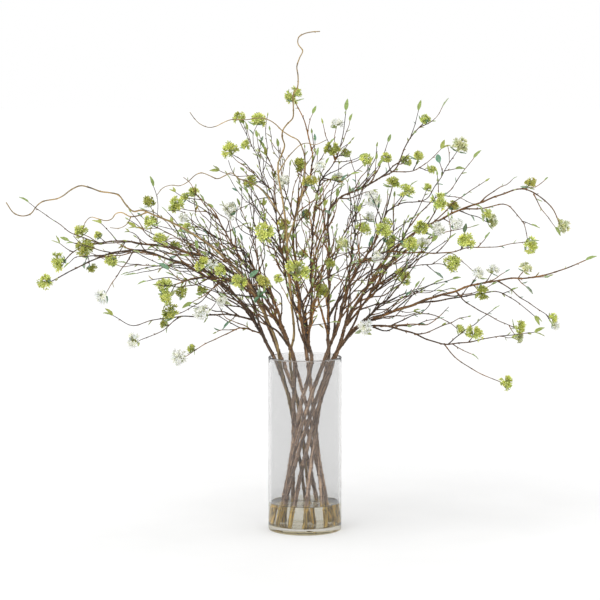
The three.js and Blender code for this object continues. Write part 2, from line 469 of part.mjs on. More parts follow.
/** Balls that fill a limb and what it carries, to measure how clear it is of other branches. */
function ballsOf(limb) {
  const balls = [];
  for (let i = 1; i < limb.points.length; i += 1) {
    const length = limb.points[i].distanceTo(limb.points[i - 1]);
    const steps = Math.ceil(length / SAMPLE_STEP);
    for (let k = i === 1 ? 0 : 1; k <= steps; k += 1) {
      const centre = limb.points[i - 1].clone().lerp(limb.points[i], k / steps);
      balls.push({ centre, radius: lerp(limb.radii[i - 1], limb.radii[i], k / steps) });
    }
  }
  const { tip, course } = limb;
  const size = limb.size * CM;
  const fill = isHead(limb.kind) ? HEAD_BALLS : limb.kind in LEAF_GROUPS ? GROUP_BALLS : LEAF_BALLS;
  if (size > 0) {
    for (const [ahead, radius] of fill) {
      balls.push({ centre: tip.clone().addScaledVector(course, ahead * size), radius: radius * size });
    }
  }
  return balls;
}

/** The least gap between some balls and those of the other branches. */
function gapBetween(balls, others, branchIndex) {
  let gap = Infinity;
  for (const ball of balls) {
    for (const other of others) {
      if (other.branchIndex !== branchIndex) {
        gap = Math.min(gap, ball.centre.distanceTo(other.centre) - ball.radius - other.radius);
      }
    }
  }
  return gap;
}

/** Every branch's limbs. A shoot's tip swings nearer or deeper until it is clear of the other branches. */
function growAll(plan) {
  const taken = [];
  const take = (limb, branchIndex) => {
    for (const ball of ballsOf(limb)) taken.push({ ...ball, branchIndex });
  };
  const grown = plan.map((branch, branchIndex) => {
    const [kind, size] = branch.tip;
    const stem = withTip(growStem(branch), kind, size);
    take(stem, branchIndex);
    return { branch, stem, limbs: [stem] };
  });
  grown.forEach(({ branch, limbs }, branchIndex) => {
    for (const shoot of branch.shoots) {
      let best = { gap: -Infinity };
      for (let swing = 0; swing < SWINGS && best.gap < CLEARANCE; swing += 1) {
        const side = swing % 2 ? 1 : -1;
        const limb = growShoot(limbs, shoot, shoot[2] * CM + side * Math.ceil(swing / 2) * SWING_STEP);
        const gap = gapBetween(ballsOf(limb), taken, branchIndex);
        if (gap > best.gap) best = { gap, limb };
      }
      limbs.push(best.limb);
      take(best.limb, branchIndex);
    }
  });
  return grown;
}

/** A geometry from points and the triangles between them. */
function geometryOf(points, triangles) {
  const geometry = new THREE.BufferGeometry();
  const places = points.flatMap((point) => point.toArray());
  geometry.setAttribute("position", new THREE.Float32BufferAttribute(places, 3));
  geometry.setIndex(triangles.flat());
  return geometry;
}

/** A closed geometry as a solid. */
function solidOf(geometry) {
  geometry.deleteAttribute("normal");
  geometry.deleteAttribute("uv");
  const merged = mergeVertices(geometry, MERGE_DISTANCE);
  const index = merged.index.array;
  const triangles = [];
  for (let i = 0; i < index.length; i += 3) {
    const [a, b, c] = [index[i], index[i + 1], index[i + 2]];
    if (a !== b && b !== c && c !== a) triangles.push(a, b, c);
  }
  return new wasm.Manifold(new wasm.Mesh({
    numProp: 3,
    vertProperties: new Float32Array(merged.attributes.position.array),
    triVerts: new Uint32Array(triangles),
  }));
}

/** A ring of corners round a point, in the plane of two directions. */
function ring(centre, across, up, radius, sides, height = radius) {
  return Array.from({ length: sides }, (_, k) => {
    const turn = (k / sides) * 2 * Math.PI;
    return centre.clone()
      .addScaledVector(across, radius * Math.cos(turn))
      .addScaledVector(up, height * Math.sin(turn));
  });
}

/** The rings of a tapered tube, carried along its points without twist, and the last ring's directions. */
function tubeRings(points, radii, sides, firstCourse) {
  const last = points.length - 1;
  let across = new THREE.Vector3(1, 0, 0);
  let up;
  const rings = points.map((point, i) => {
    const before = point.clone().sub(points[Math.max(i - 1, 0)]).normalize();
    const after = points[Math.min(i + 1, last)].clone().sub(point).normalize();
    const course = i === 0 && firstCourse ? firstCourse : before.add(after).normalize();
    if (i === 0 && Math.abs(across.dot(course)) > 0.8) across = new THREE.Vector3(0, 1, 0);
    across = across.clone().addScaledVector(course, -across.dot(course)).normalize();
    up = course.clone().cross(across);
    return ring(point, across, up, radii[i], sides);
  });
  return { rings, across, up };
}

/** A skin over a chain of rings, with any numbers of corners. A ring of one corner is a point. */
function skin(rings, openEnd = false) {
  const points = rings.flat();
  const triangles = [];
  let start = 0;
  rings.slice(1).forEach((next, r) => {
    const [a, b] = [rings[r].length, next.length];
    const lower = (i) => start + (i % a);
    const upper = (j) => start + a + (j % b);
    for (let i = 0, j = 0; i < (a > 1 ? a : 0) || j < (b > 1 ? b : 0);) {
      const stepLower = a > 1 && i < a && (b === 1 || j >= b || (i + 1) / a <= (j + 1) / b);
      if (stepLower) {
        triangles.push([lower(i), lower(i + 1), upper(j)]);
        i += 1;
      } else {
        triangles.push([lower(i), upper(j + 1), upper(j)]);
        j += 1;
      }
    }
    start += a;
  });
  for (let k = 1; k < rings[0].length - 1; k += 1) triangles.push([0, k + 1, k]);
  if (!openEnd) {
    for (let k = 1; k < rings.at(-1).length - 1; k += 1) triangles.push([start, start + k, start + k + 1]);
  }
  return { points, triangles, start };
}

/** The solid inside a closed skin over a chain of rings. */
function closedSkin(rings) {
  const { points, triangles } = skin(rings);
  return solidOf(geometryOf(points, triangles));
}

/** Directions square to a course, the first one turned on from a given direction. */
function squareTo(course, from) {
  const across = from.clone().addScaledVector(course, -from.dot(course));
  if (across.lengthSq() < 0.01) across.set(0, 1, 0).addScaledVector(course, -course.y);
  across.normalize();
  return [across, course.clone().cross(across)];
}

/** The core of a flower head: its corners' polar angles and turns, a face for each floret, its open edge. */
function headCore(size) {
  const dense = size >= DENSE_HEAD;
  const sides = dense ? 5 : size < SMALL_HEAD ? 3 : 4;
  const rings = dense ? [[37, 0], [79, 0], [101, 0.5]] : [[38, 0], [98, 0]];
  const corners = rings.flatMap(([polar, turn]) => (
    Array.from({ length: sides }, (_, k) => [polar, (k + turn) / sides])
  ));
  const faces = [Array.from({ length: sides }, (_, k) => k)];
  const edge = [];
  for (let k = 0; k < sides; k += 1) {
    const next = (k + 1) % sides;
    if (dense) {
      faces.push([k, k + sides, k + 2 * sides, next + sides, next]);
      edge.push(k + sides, k + 2 * sides);
    } else {
      faces.push([k, k + sides, next + sides, next]);
      edge.push(k + sides);
    }
  }
  return { corners, faces, edge };
}

/** A limb with its flower head: a small core at the end of the stalk, and on each of the core's faces a
 *  floret, whose petals stand up from the face's edges. */
function limbWithHead(limb, rings, from, seed) {
  const roll = dice(seed);
  const radius = (limb.size * CM) / 2;
  const [across, up] = squareTo(limb.course, from);
  const { corners, faces, edge } = headCore(limb.size);
  const ways = corners.map(([polar, turn]) => {
    const around = turn * 2 * Math.PI;
    return limb.course.clone().multiplyScalar(Math.cos(radians(polar)))
      .addScaledVector(across, Math.cos(around) * Math.sin(radians(polar)))
      .addScaledVector(up, Math.sin(around) * Math.sin(radians(polar)));
  });
  const place = (way, reach) => limb.tip.clone().addScaledVector(way, reach * radius);
  const { points, triangles, start } = skin([...rings, edge.map((k) => place(ways[k], CORE_REACH))], true);
  const indexOf = ways.map((way, k) => {
    const onEdge = edge.indexOf(k);
    return onEdge >= 0 ? start + onEdge : points.push(place(way, CORE_REACH)) - 1;
  });
  faces.forEach((face) => {
    const facing = face.reduce((sum, k) => sum.add(ways[k]), new THREE.Vector3()).normalize();
    const middle = points.push(place(facing, CORE_REACH + HEART_RISE)) - 1;
    face.forEach((from, k) => {
      const to = face[(k + 1) % face.length];
      const petal = ways[from].clone().add(ways[to]).normalize().lerp(facing, PETAL_LEAN).normalize();
      const tip = points.push(place(petal, lerp(...PETAL_REACH, roll()))) - 1;
      const [a, b] = [indexOf[from], indexOf[to]];
      triangles.push([middle, a, tip], [middle, tip, b], [a, b, tip]);
    });
  });
  return solidOf(geometryOf(points, triangles));
}

/** The rings of a pointed leaf, folded a little along its midrib, the first corner nearest to a direction. */
function leafRings(base, course, length, roll, from) {
  const [level] = squareTo(course, LEAF_LEVEL.clone().cross(course));
  const side = level.applyAxisAngle(course, (roll - 0.5) * LEAF_ROLL);
  const up = course.clone().cross(side);
  const sections = LEAF_SECTIONS.map(([along, wide]) => {
    const centre = base.clone().addScaledVector(course, along * length);
    const corners = ring(centre, side, up, wide * length, 4, LEAF_THICKNESS / 2);
    corners[0].addScaledVector(up, LEAF_FOLD);
    corners[2].addScaledVector(up, LEAF_FOLD);
    let first = 0;
    corners.forEach((corner, k) => {
      const nearness = (c) => c.clone().sub(centre).normalize().dot(from);
      if (nearness(corner) > nearness(corners[first]) + 0.01) first = k;
    });
    return [...corners.slice(first), ...corners.slice(0, first)];
  });
  return [...sections, [base.clone().addScaledVector(course, length)]];
}

/** One limb as solids, with what it carries at its tip. */
function limbSolids(limb, points, radii, sides, seed, firstCourse) {
  const roll = dice(seed);
  const { rings, across } = tubeRings(points, radii, sides, firstCourse);
  if (isHead(limb.kind)) return [limbWithHead(limb, rings, across, seed)];
  const size = limb.size * CM;
  const chain = (extra) => closedSkin([...rings, ...extra]);
  if (limb.kind === "bare") return [chain([])];
  const [side, up] = squareTo(limb.course, across);
  if (limb.kind === "bud") {
    const [ahead, wide] = BUD_SWELLING;
    const swelling = limb.tip.clone().addScaledVector(limb.course, size * ahead);
    const point = limb.tip.clone().addScaledVector(limb.course, size);
    return [chain([ring(swelling, side, up, size * wide, sides), [point]])];
  }
  const [spread, count, share] = LEAF_GROUPS[limb.kind] ?? [0, 1, 1];
  const solids = [];
  for (let k = 0; k < count; k += 1) {
    const turn = (k / count + 0.25 * roll()) * 2 * Math.PI;
    const way = limb.course.clone()
      .addScaledVector(side, Math.cos(turn) * spread)
      .addScaledVector(up, Math.sin(turn) * spread).normalize();
    const leaf = leafRings(limb.tip, way, size * share, roll(), across);
    const root = limb.tip.clone().addScaledVector(limb.course, -1);
    solids.push(k === 0 ? chain(leaf) : closedSkin([[root], ...leaf]));
  }
  return solids;
}

/** One branch, fused: wood, heads and leaves. Slivers, loose scraps and sealed hollows go. */
function branchSolid({ stem, limbs }, branchIndex) {
  const standing = new THREE.Vector3(0, 0, 1);
  const parts = limbs.flatMap((limb, i) => {
    const seed = branchIndex * 100 + i;
    if (i > 0) return limbSolids(limb, limb.points, limb.radii, TWIG_SIDES, seed);
    return limbSolids(stem, [...stem.inside, ...stem.points], [...stem.insideRadii, ...stem.radii],
      STEM_SIDES, seed, standing);
  });
  const bodies = wasm.Manifold.union(parts).simplify(SLIVER).decompose();
  return bodies.reduce((a, b) => (b.volume() > a.volume() ? b : a));
}

/** The plain hole in the resin for one stem, a little wider than the stem. */
function stemHole({ stem }) {
  const [foot, next] = stem.inside;
  const below = foot.clone().lerp(next, -0.1);
  const wide = stem.insideRadii.slice(0, 2).map((radius) => radius + HOLE_GAP);
  const { rings } = tubeRings([below, next], wide, STEM_SIDES, new THREE.Vector3(0, 0, 1));
  return closedSkin(rings);
}

/** A turned solid from its profile of radius and height, closed on the axis. */
function turned(profile) {
  const outline = profile.map(([radius, height]) => new THREE.Vector2(radius, height));
  return solidOf(new THREE.LatheGeometry(outline, VASE_SIDES).rotateX(Math.PI / 2));
}

function vaseSolid() {
  const inner = VASE_RADIUS - VASE_WALL;
  return turned([
    [0, 0], [VASE_RADIUS - VASE_CHAMFER, 0], [VASE_RADIUS, VASE_CHAMFER], [VASE_RADIUS, VASE_HEIGHT],
    [inner, VASE_HEIGHT], [inner, VASE_FLOOR], [0, VASE_FLOOR],
  ]);
}

function resinSolid(grown) {
  const radius = VASE_RADIUS - VASE_WALL - REST_GAP - 0.05;
  const bottom = VASE_FLOOR + REST_GAP;
  const disc = turned([[0, bottom], [radius, bottom], [radius, RESIN_TOP], [0, RESIN_TOP]]);
  return disc.subtract(wasm.Manifold.union(grown.map(stemHole)));
}

/** A named mesh of a solid. */
function meshOf(name, solid, look) {
  const { vertProperties, triVerts } = solid.getMesh();
  const geometry = new THREE.BufferGeometry();
  geometry.setAttribute("position", new THREE.BufferAttribute(vertProperties, 3));
  geometry.setIndex(new THREE.BufferAttribute(triVerts, 1));
  geometry.computeVertexNormals();
  const mesh = new THREE.Mesh(geometry, new THREE.MeshStandardMaterial(look));
  mesh.name = name;
  return mesh;
}

const arrangement = new THREE.Group();
const grown = growAll(PLAN);
arrangement.add(meshOf("vase", vaseSolid(), GLASS));
arrangement.add(meshOf("resin_water", resinSolid(grown), RESIN));
grown.forEach((plant, i) => {
  const look = plant.branch.name.startsWith("willow") ? WOOD : FOLIAGE;
  arrangement.add(meshOf(plant.branch.name, branchSolid(plant, i), look));
});

export default arrangement;
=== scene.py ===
"""Flowering spirea branches and two curly branches in a clear glass cylinder vase.

Millimetres until a mesh is made, then metres. +Z is up, the origin is the centre of the vase's underside, and
-Y is the front. The plan and the way the limbs grow from it are those of the part's own source, so every
stem, twig, flower head and leaf lies where its solid does.
"""

import math

import bpy
import numpy as np
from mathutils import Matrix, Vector


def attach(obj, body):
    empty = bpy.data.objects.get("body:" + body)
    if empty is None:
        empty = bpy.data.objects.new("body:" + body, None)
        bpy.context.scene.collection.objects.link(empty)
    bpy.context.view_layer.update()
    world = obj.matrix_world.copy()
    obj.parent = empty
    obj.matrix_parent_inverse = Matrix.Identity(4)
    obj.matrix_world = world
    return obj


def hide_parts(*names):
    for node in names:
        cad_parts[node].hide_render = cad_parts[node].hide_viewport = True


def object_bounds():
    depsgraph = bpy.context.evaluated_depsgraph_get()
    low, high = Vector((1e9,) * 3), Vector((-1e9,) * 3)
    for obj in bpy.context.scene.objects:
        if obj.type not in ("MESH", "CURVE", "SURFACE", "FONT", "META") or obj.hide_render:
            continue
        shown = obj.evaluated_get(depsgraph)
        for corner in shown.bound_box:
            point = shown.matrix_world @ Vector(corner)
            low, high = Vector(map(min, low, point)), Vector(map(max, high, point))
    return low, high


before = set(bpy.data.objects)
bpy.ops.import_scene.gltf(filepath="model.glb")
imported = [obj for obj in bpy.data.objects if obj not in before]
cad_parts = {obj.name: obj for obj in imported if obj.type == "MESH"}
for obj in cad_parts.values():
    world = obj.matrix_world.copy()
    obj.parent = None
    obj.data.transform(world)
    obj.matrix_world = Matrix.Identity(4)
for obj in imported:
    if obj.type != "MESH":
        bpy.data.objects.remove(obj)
cad_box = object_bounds()

# Units, and the sizes of the vase and of the resin in its foot
MM = 0.001
CM = 10
VASE_RADIUS = 63.5
VASE_HEIGHT = 302
VASE_WALL = 4
VASE_FLOOR = 10
RESIN_TOP = 47.5
REST_GAP = 0.3

# How the stems stand: on two rings, each turned by its twist from the feet to the vase's mouth
OUTER_RING = {"foot": 46, "exit": 54, "twist": 132}
CORE_RING = {"foot": 22, "exit": 28, "twist": 140}
LEAN_AT_FOOT = 0.55
VASE_STEPS = [70, 150, 225, VASE_HEIGHT]

# How the wood thins towards its tips
RIM_SHARE = 0.85
STEM_TIP_RADIUS = 0.9
TWIG_ROOT_RADIUS = 0.75
TWIG_ROOT_GROWTH = 0.004
TAPER = 0.75
ROOT_SHARE = 0.9
TWIG_TIP_RADIUS = 0.6
STALK_RADIUS = 0.7
STALK_FLARE = 1.2
STALK_SLANT = 0.9

# How leaves and flower heads sit at a tip. A group of leaves has its spread, its number and its share of
# the size.
LEAF_LEVEL = np.array([0, -0.35, 1])
LEAF_ROLL = 1.2
LEAF_GROUPS = {"fork": (0.45, 2, 1), "rosette": (1.1, 5, 0.62)}
HEAD_LIFT = np.array([0, -0.25, 0.7])
NECK = 0.45

# The eye, and how far a shoot's tip swings in depth until it is clear of the other branches
EYE = np.array([-8.6, -4000, 800])
SAMPLE_STEP = 4
CLEARANCE = 2
SWING_STEP = 8
SWINGS = 15

# Lines that limbs are drawn on: steps of a curve from point to point, and samples round each knot
CURVE_STEPS = 12
ROUND_A_KNOT = np.array([-2.0, -0.9, 0, 1.0, 2.3])
LEAST_STEP = 0.3

# The turn of a spiral from one thing to the next, and the widest turn that is drawn by chance
GOLDEN_TURN = 2.39996
ANY_TURN = 6.28

# The plan, in centimetres as seen from the front: x to the right, z up from the table. A branch has the angle
# of its place at the rim, its ring, the radius of its foot, the depth of its tip and its stem's route above
# the rim. Its shoots follow: what each carries, that thing's size, the change of depth, and the route. A
# route of one point is a short stalk from the nearest wood.
PLAN = [
  dict(name="branch_left_low", angle=184, ring=OUTER_RING, foot=3.8, depth=-12, tip=("lime", 2.8),
    stem=[-6.3, 31.8, -7.3, 33.8, -9.5, 37.8, -12, 40.8, -15, 43, -18, 44.6, -21, 46.2, -24, 47.3,
      -28, 48.5, -32, 48.4, -36.5, 46.9, -40, 45.2, -44.6, 43.2],
    shoots=[
      ["fork", 2, -3, [-8.7, 36.5, -12.5, 37.4, -19, 37.2, -26.5, 36.5, -29.5, 35.5, -33.1, 37.3]],
      ["white", 2.6, -2, [-21.8, 36.5, -25, 34.5, -28.3, 33.1, -29.5, 33]],
      ["olive", 3, -2, [-15.5, 42.2, -18.5, 39.4, -21.8, 37.6, -23.2, 37.8]],
      ["white", 2.8, -3, [-7.6, 34.2, -11.3, 35.1, -14, 33.9, -18, 31.9, -21.6, 30]],
      ["lime", 1.5, 0.5, [-19.6, 31.6]],
      ["white", 2.9, -2, [-13.4, 41.8, -14.8, 40.3, -15.9, 38.9, -17.6, 37.8]],
      ["white", 1.8, -1, [-14.3, 39.9]],
      ["teal", 2.4, 1, [-13, 36.2]],
      ["olive", 1.6, 1, [-24.3, 35.8]],
      ["white", 2.5, -2, [-29.5, 48.5, -31.5, 45.4, -33, 43.3, -35, 40.7]],
      ["leaf", 2.2, -1, [-22, 46.6, -24, 45.8, -26, 45.2, -29, 44.6]],
      ["leaf", 1.6, -2, [-9.5, 37.8, -14, 40.6, -18.5, 42.6, -22.6, 44.2]],
      ["fork", 1.6, 2, [-12, 40.8, -15.5, 45.2, -19.5, 47.6, -23.5, 49.4]],
    ]),
  dict(name="branch_left_mid", angle=145, ring=OUTER_RING, foot=4, depth=4, tip=("lime", 3),
    stem=[-5.7, 34, -7.5, 38.5, -10, 42.5, -13, 45.2, -17, 47.3, -22, 48.8, -27, 49.6, -32, 50.2,
      -36, 49.7, -39.6, 48.5, -42.3, 46.6],
    shoots=[
      ["olive", 3.2, -1.5, [-37.8, 49]],
      ["lime", 1.6, 0.5, [-35.6, 51.1]],
      ["lime", 2.5, 1, [-38.5, 51.8]],
      ["leaf", 2, 1.5, [-40.6, 50.2]],
      ["fork", 1.6, -1, [-39.9, 48.3, -41, 48.9, -42.2, 49.8]],
      ["leaf", 2, -3, [-35.4, 49.8, -39.7, 51.4, -42, 52.9, -45, 55, -47.4, 56.8]],
      ["fork", 1.8, 2, [-32.3, 50.2, -33.6, 51.8, -35, 53.2]],
      ["lime", 2.5, -2, [-33.3, 46.9]],
      ["olive", 1.8, 1, [-36.8, 45.6]],
      ["teal", 2.4, 2, [-37.8, 46.6]],
      ["leaf", 1.6, 3, [-10, 42.5, -14.5, 44.2, -20, 45.4, -25.6, 45.9, -30.3, 44.8]],
      ["lime", 1.6, -3, [-13, 45.2, -17.5, 49.2, -20.3, 52.6]],
      ["lime", 2.8, 10.5, [-7.5, 38.5, -9.5, 43, -13, 46.3, -17, 48.5, -21, 50.2, -24, 51.8, -26.5, 53.3]],
      ["olive", 2.4, 1, [-25.4, 52.8, -26, 55, -26.8, 56.8]],
      ["leaf", 2, -1, [-25, 53.4, -25.3, 57.5, -26, 59.6]],
      ["lime", 2.2, -2, [-24.8, 50.6]],
      ["dark", 2.2, -2, [-16, 48.6, -17.3, 50.3, -19.2, 51.2]],
      ["olive", 1.8, 2, [-22.4, 49.4]],
      ["teal", 2.4, 2, [-22.3, 47.6]],
      ["fork", 2, 1, [-25.6, 52.7, -27.4, 52.3, -29, 52.6]],
      ["leaf", 1.8, 2, [-21, 51.8]],
      ["leaf", 1.6, 2, [-9.5, 43, -14, 47.9, -17.2, 53.2]],
    ]),
  dict(name="branch_left_tall", angle=116, ring=OUTER_RING, foot=3.5, depth=22, tip=("lime", 2.2),
    stem=[-3.7, 35, -5.5, 40, -7.5, 44, -10.3, 46.2, -12, 48.8, -14, 52.3, -16, 55.8, -19, 58.6],
    shoots=[
      ["lime", 3, -4, [-15, 54, -17, 55.2, -20, 55.5, -22, 56.3]],
      ["lime", 1.6, -1, [-20.6, 57.8]],
      ["white", 2, -5, [-8.6, 44.8, -10.5, 48.5, -14.5, 50.5, -17, 52, -20.8, 54]],
      ["teal", 2.8, 1, [-13.4, 48.8]],
      ["leaf", 2, 1.5, [-12.9, 54]],
      ["leaf", 2, 2, [-10.8, 52.9]],
      ["bud", 1.2, -2, [-5.5, 40, -9.5, 44.6, -13.6, 47.2, -18.6, 51.6]],
      ["leaf", 1.6, 2, [-7.5, 44, -9, 50.6, -11.2, 56.2]],
    ]),
  dict(name="branch_front_left", angle=250, ring=OUTER_RING, foot=3.7, depth=-20, tip=("lime", 2.6),
    stem=[-3.1, 33, -5.3, 36.8, -8, 40, -12, 43, -16, 44, -19, 43.8, -22, 42.8, -24.2, 42.6],
    shoots=[
      ["lime", 2.2, -2, [-23.9, 40.6]],
      ["olive", 2, -2, [-21.3, 41.4]],
      ["leaf", 2, -2, [-14, 43.7, -17, 41, -19.5, 39.6]],
      ["olive", 1.8, 2, [-17.8, 41.6]],
      ["lime", 2.4, -1, [-17.8, 46.2]],
      ["white", 2, 1.5, [-16, 46]],
      ["lime", 2, -2, [-14.6, 45.2]],
      ["teal", 2.6, 2, [-23.5, 45.2]],
      ["lime", 2.6, -3, [-11.3, 43.2]],
      ["teal", 2.6, 2, [-9.5, 43.9]],
      ["gold", 2.4, -2, [-7.2, 43.2]],
      ["rosette", 3, -4, [-7.9, 40.6]],
      ["leaf", 1.6, -2, [-5.3, 36.8, -9.5, 38.9, -13.5, 40.6]],
      ["fork", 1.6, 3, [-12, 43, -16.5, 46.9, -20, 47.6]],
    ]),
  dict(name="branch_centre_tall", angle=87, ring=OUTER_RING, foot=4, depth=24, tip=("lime", 3.2),
    stem=[-0.8, 38, -1.5, 45, -2, 50, -1.8, 54, -0.5, 58, 0.8, 61, 1.3, 64.5, 0.6, 68, 0, 70.5,
      -2, 75],
    shoots=[
      ["leaf", 1.8, 2, [0.4, 68.6, 0.7, 70.7, 1.3, 72]],
      ["olive", 2.8, -3, [-0.8, 63.2]],
      ["leaf", 2, -2, [-3, 55.4]],
      ["olive", 2, 2, [0.2, 54.6]],
      ["olive", 1.8, -2, [-3.2, 48.6]],
      ["lime", 1.8, 2, [-0.4, 47.9]],
      ["leaf", 1.6, 2, [-1.5, 45, 0.6, 50.2, 1.8, 55.2]],
      ["leaf", 1.6, -3, [-1.8, 54, -3.6, 59.6, -4.6, 66.4]],
      ["lime", 3, 4, [-0.7, 37, -2.6, 41, -3.5, 45, -3.9, 48, -4.8, 53, -5.3, 57, -6.5, 59.5, -8.5, 61.5,
        -10.5, 63.8, -12.9, 65.7]],
      ["lime", 2.4, 2, [-7.2, 60.2, -8, 64, -9.3, 67, -11.3, 71.2]],
      ["lime", 2.8, -2, [-8.8, 65.6, -8.9, 68, -8, 70.9]],
      ["lime", 1.6, -1, [-10.2, 66.8]],
      ["olive", 2.2, -2, [-9.4, 60.4]],
      ["fork", 1.8, -2, [-8.6, 61.4, -11.5, 61.3, -13.3, 61.7, -14.7, 62.3]],
      ["leaf", 2.2, 2, [-5.2, 56.5, -5.4, 61, -6, 63.8, -7, 66]],
      ["teal", 2.6, -1, [-5.4, 55, -6.4, 57.5]],
      ["white", 2.4, -2, [-3.8, 60.4]],
      ["white", 3, 2, [-5.5, 57.6, -7, 57.6, -8.5, 57.2, -12.6, 55.5]],
      ["gold", 2.2, -2.5, [-3.6, 53]],
      ["lime", 1.8, 2, [-3.3, 51]],
      ["leaf", 1.8, 2, [-10.5, 62.2]],
      ["leaf", 1.6, -2, [-3.9, 48, -6.5, 52.6, -9.8, 58.4]],
      ["bud", 1.2, 2, [-4.8, 53, -3.2, 57.6, -2.6, 63]],
    ]),
  dict(name="branch_front", angle=282, ring=OUTER_RING, foot=3.9, depth=-27, tip=("lime", 3.2),
    stem=[0.4, 33, -0.1, 36.5, -0.7, 40, -1.7, 43, -3.2, 46.5, -5, 49.2, -6.8, 51.6],
    shoots=[
      ["lime", 3.6, -3, [-1.2, 45]],
      ["olive", 2.6, -4, [2.9, 41.5]],
      ["teal", 2.4, -1, [0.9, 35.6]],
      ["leaf", 2, -3, [0.1, 35.5, 2.2, 35.7, 4.4, 36.1]],
      ["pale", 2.2, -6, [-0.5, 38.5, 1.2, 42.5, 4, 47, 6.5, 49.8]],
      ["olive", 1.8, -1, [4.3, 46.3]],
      ["leaf", 2, -9, [-0.6, 39.5, 2, 42.7, 4, 44, 6, 45, 8, 46.2]],
      ["lime", 1.6, -2, [-0.1, 36.5, -2.6, 39.6, -4.6, 43.6]],
      ["leaf", 2, 0, [0.4, 33, 1, 36.5, 1.2, 40, 1, 45, 1.2, 50, 1.7, 55, 2.3, 59, 3.3, 61.5, 4.8, 63.4,
        6.1, 66.5, 6.7, 70, 7, 72.6]],
      ["gold", 2.4, -1.5, [0.9, 60.3]],
      ["olive", 2.8, -2, [4.5, 65.9]],
      ["olive", 1.8, 2, [6.9, 65.2]],
      ["bud", 1.2, 1, [4.9, 64.2, 4.1, 67, 3.4, 69, 3.1, 70.2]],
      ["white", 2.2, 1.5, [5.3, 65, 5, 67.8, 5.4, 70.2]],
      ["leaf", 2.2, -2, [1.9, 56, 3.4, 57.3, 5.2, 58.8]],
      ["teal", 2.2, 2, [3.3, 55.4]],
      ["white", 2.2, -2, [2.5, 63]],
      ["white", 2, 1, [5.6, 61]],
      ["lime", 2.2, -3, [3.1, 61, 6, 60.6, 8.7, 62.1, 10.5, 64]],
      ["leaf", 1.8, 3, [5, 63.8, 7.6, 63.9, 9.3, 64.6]],
      ["leaf", 1.6, 2, [1, 45, 2.6, 50.4, 4.6, 55.2]],
    ]),
  dict(name="branch_right_tall", angle=40, ring=OUTER_RING, foot=3.9, depth=20, tip=("lime", 2.2),
    stem=[4, 33.5, 4, 36.8, 4.1, 42, 4.2, 46, 4, 51, 4.2, 55.6, 5.5, 57.3, 9.5, 59.2, 12.5, 60.8,
      15.5, 62.6, 17, 66, 18.3, 68.3, 20.5, 70.9],
    shoots=[
      ["lime", 2.2, -2, [14, 64.4]],
      ["lime", 2, 2, [17.4, 63.9]],
      ["leaf", 2, 1, [18, 67.8, 18.9, 70.4, 19.4, 72.6]],
      ["leaf", 2, -1, [19.7, 69.9, 22, 70.9, 23.5, 73.2]],
      ["fork", 2, 3, [14.8, 62, 18, 62.2, 20.4, 63.2, 22, 64.7, 23.3, 66]],
      ["lime", 2.2, -1, [19.4, 64.7]],
      ["lime", 1.8, 1, [21.6, 62.4]],
      ["leaf", 1.6, -2, [4.2, 46, 6.2, 50.6, 9.4, 55.8]],
      ["bud", 1.2, 2, [4, 51, 2.8, 55.8, 2.4, 60.4]],
      ["leaf", 1.6, 2, [9.5, 59.2, 12.6, 62.8, 14.2, 67.2]],
      ["leaf", 2, 2, [4, 36.8, 5.2, 39, 6.5, 41, 7.2, 43.5, 8, 47, 8.5, 51, 8.7, 54.5, 9.5, 58.5,
        10.8, 60.9, 12.5, 63]],
      ["white", 3.3, -3, [11.4, 57.3]],
      ["white", 2, 2, [11, 54.2]],
      ["lime", 2.4, -1.5, [10.2, 52.4]],
    ]),
  dict(name="branch_right_front", angle=308, ring=OUTER_RING, foot=4, depth=-12, tip=("olive", 2.4),
    stem=[4.6, 32.8, 5.8, 36, 6.6, 39.5, 8, 43.5, 10.5, 47.7, 12, 50, 13.5, 54, 14.2, 56.5, 15.1, 60.2],
    shoots=[
      ["lime", 2.8, -2, [13.6, 52.3]],
      ["leaf", 2, 1, [14.9, 51]],
      ["pale", 3, -5, [13.8, 55.2, 17, 56.8, 20.6, 57.3, 22.4, 59.6, 24, 62.5, 26.4, 66.4]],
      ["lime", 2.4, -1.5, [17.4, 58.9]],
      ["lime", 2.8, -3, [19.5, 57.1, 22.9, 57]],
      ["teal", 2.6, 2, [23.1, 63.6]],
      ["leaf", 2, 1, [25.8, 62.6]],
      ["white", 2, -2, [12.4, 47.4]],
      ["leaf", 2, -3, [9.8, 46.6, 14, 48.3, 18, 48.2, 22, 48.1, 25, 48.3, 29, 49.1, 33, 49.2,
        35.5, 49.7, 38.3, 50.1]],
      ["lime", 3.2, -2, [27.6, 50.1]],
      ["dark", 2, 2, [27.4, 51.6]],
      ["leaf", 2, 2, [31, 50.6]],
      ["leaf", 2, 2, [21.8, 50]],
      ["lime", 2.6, -2, [18.2, 49.7]],
      ["lime", 2.2, 1, [14.6, 50]],
      ["teal", 2.6, 1, [16, 50.2]],
      ["white", 2.4, 2, [20, 49.8]],
      ["bud", 1.2, -2, [22.6, 48.2, 24.2, 49.8, 25.1, 51.5, 24.7, 54.3]],
      ["leaf", 1.6, 3, [6.6, 39.5, 11, 44.2, 15.6, 47.2]],
      ["leaf", 1.6, -2, [10.5, 47.7, 14.2, 51.2, 18.8, 54.4]],
    ]),
  dict(name="branch_right_long", angle=8, ring=OUTER_RING, foot=4, depth=2, tip=("pale", 2.4),
    stem=[6.6, 34.3, 8.6, 39, 11, 42.5, 12.5, 45, 15.5, 49, 18, 51, 22, 53.3, 27, 55.7, 30, 56.8,
      33, 57.9, 37.3, 59.2, 40.3, 57.8, 42.5, 55.8, 44.3, 52.8],
    shoots=[
      ["leaf", 1.8, -2, [39.2, 58.2, 41, 55.2, 43, 52.6]],
      ["gold", 2.2, -1.5, [38.6, 60]],
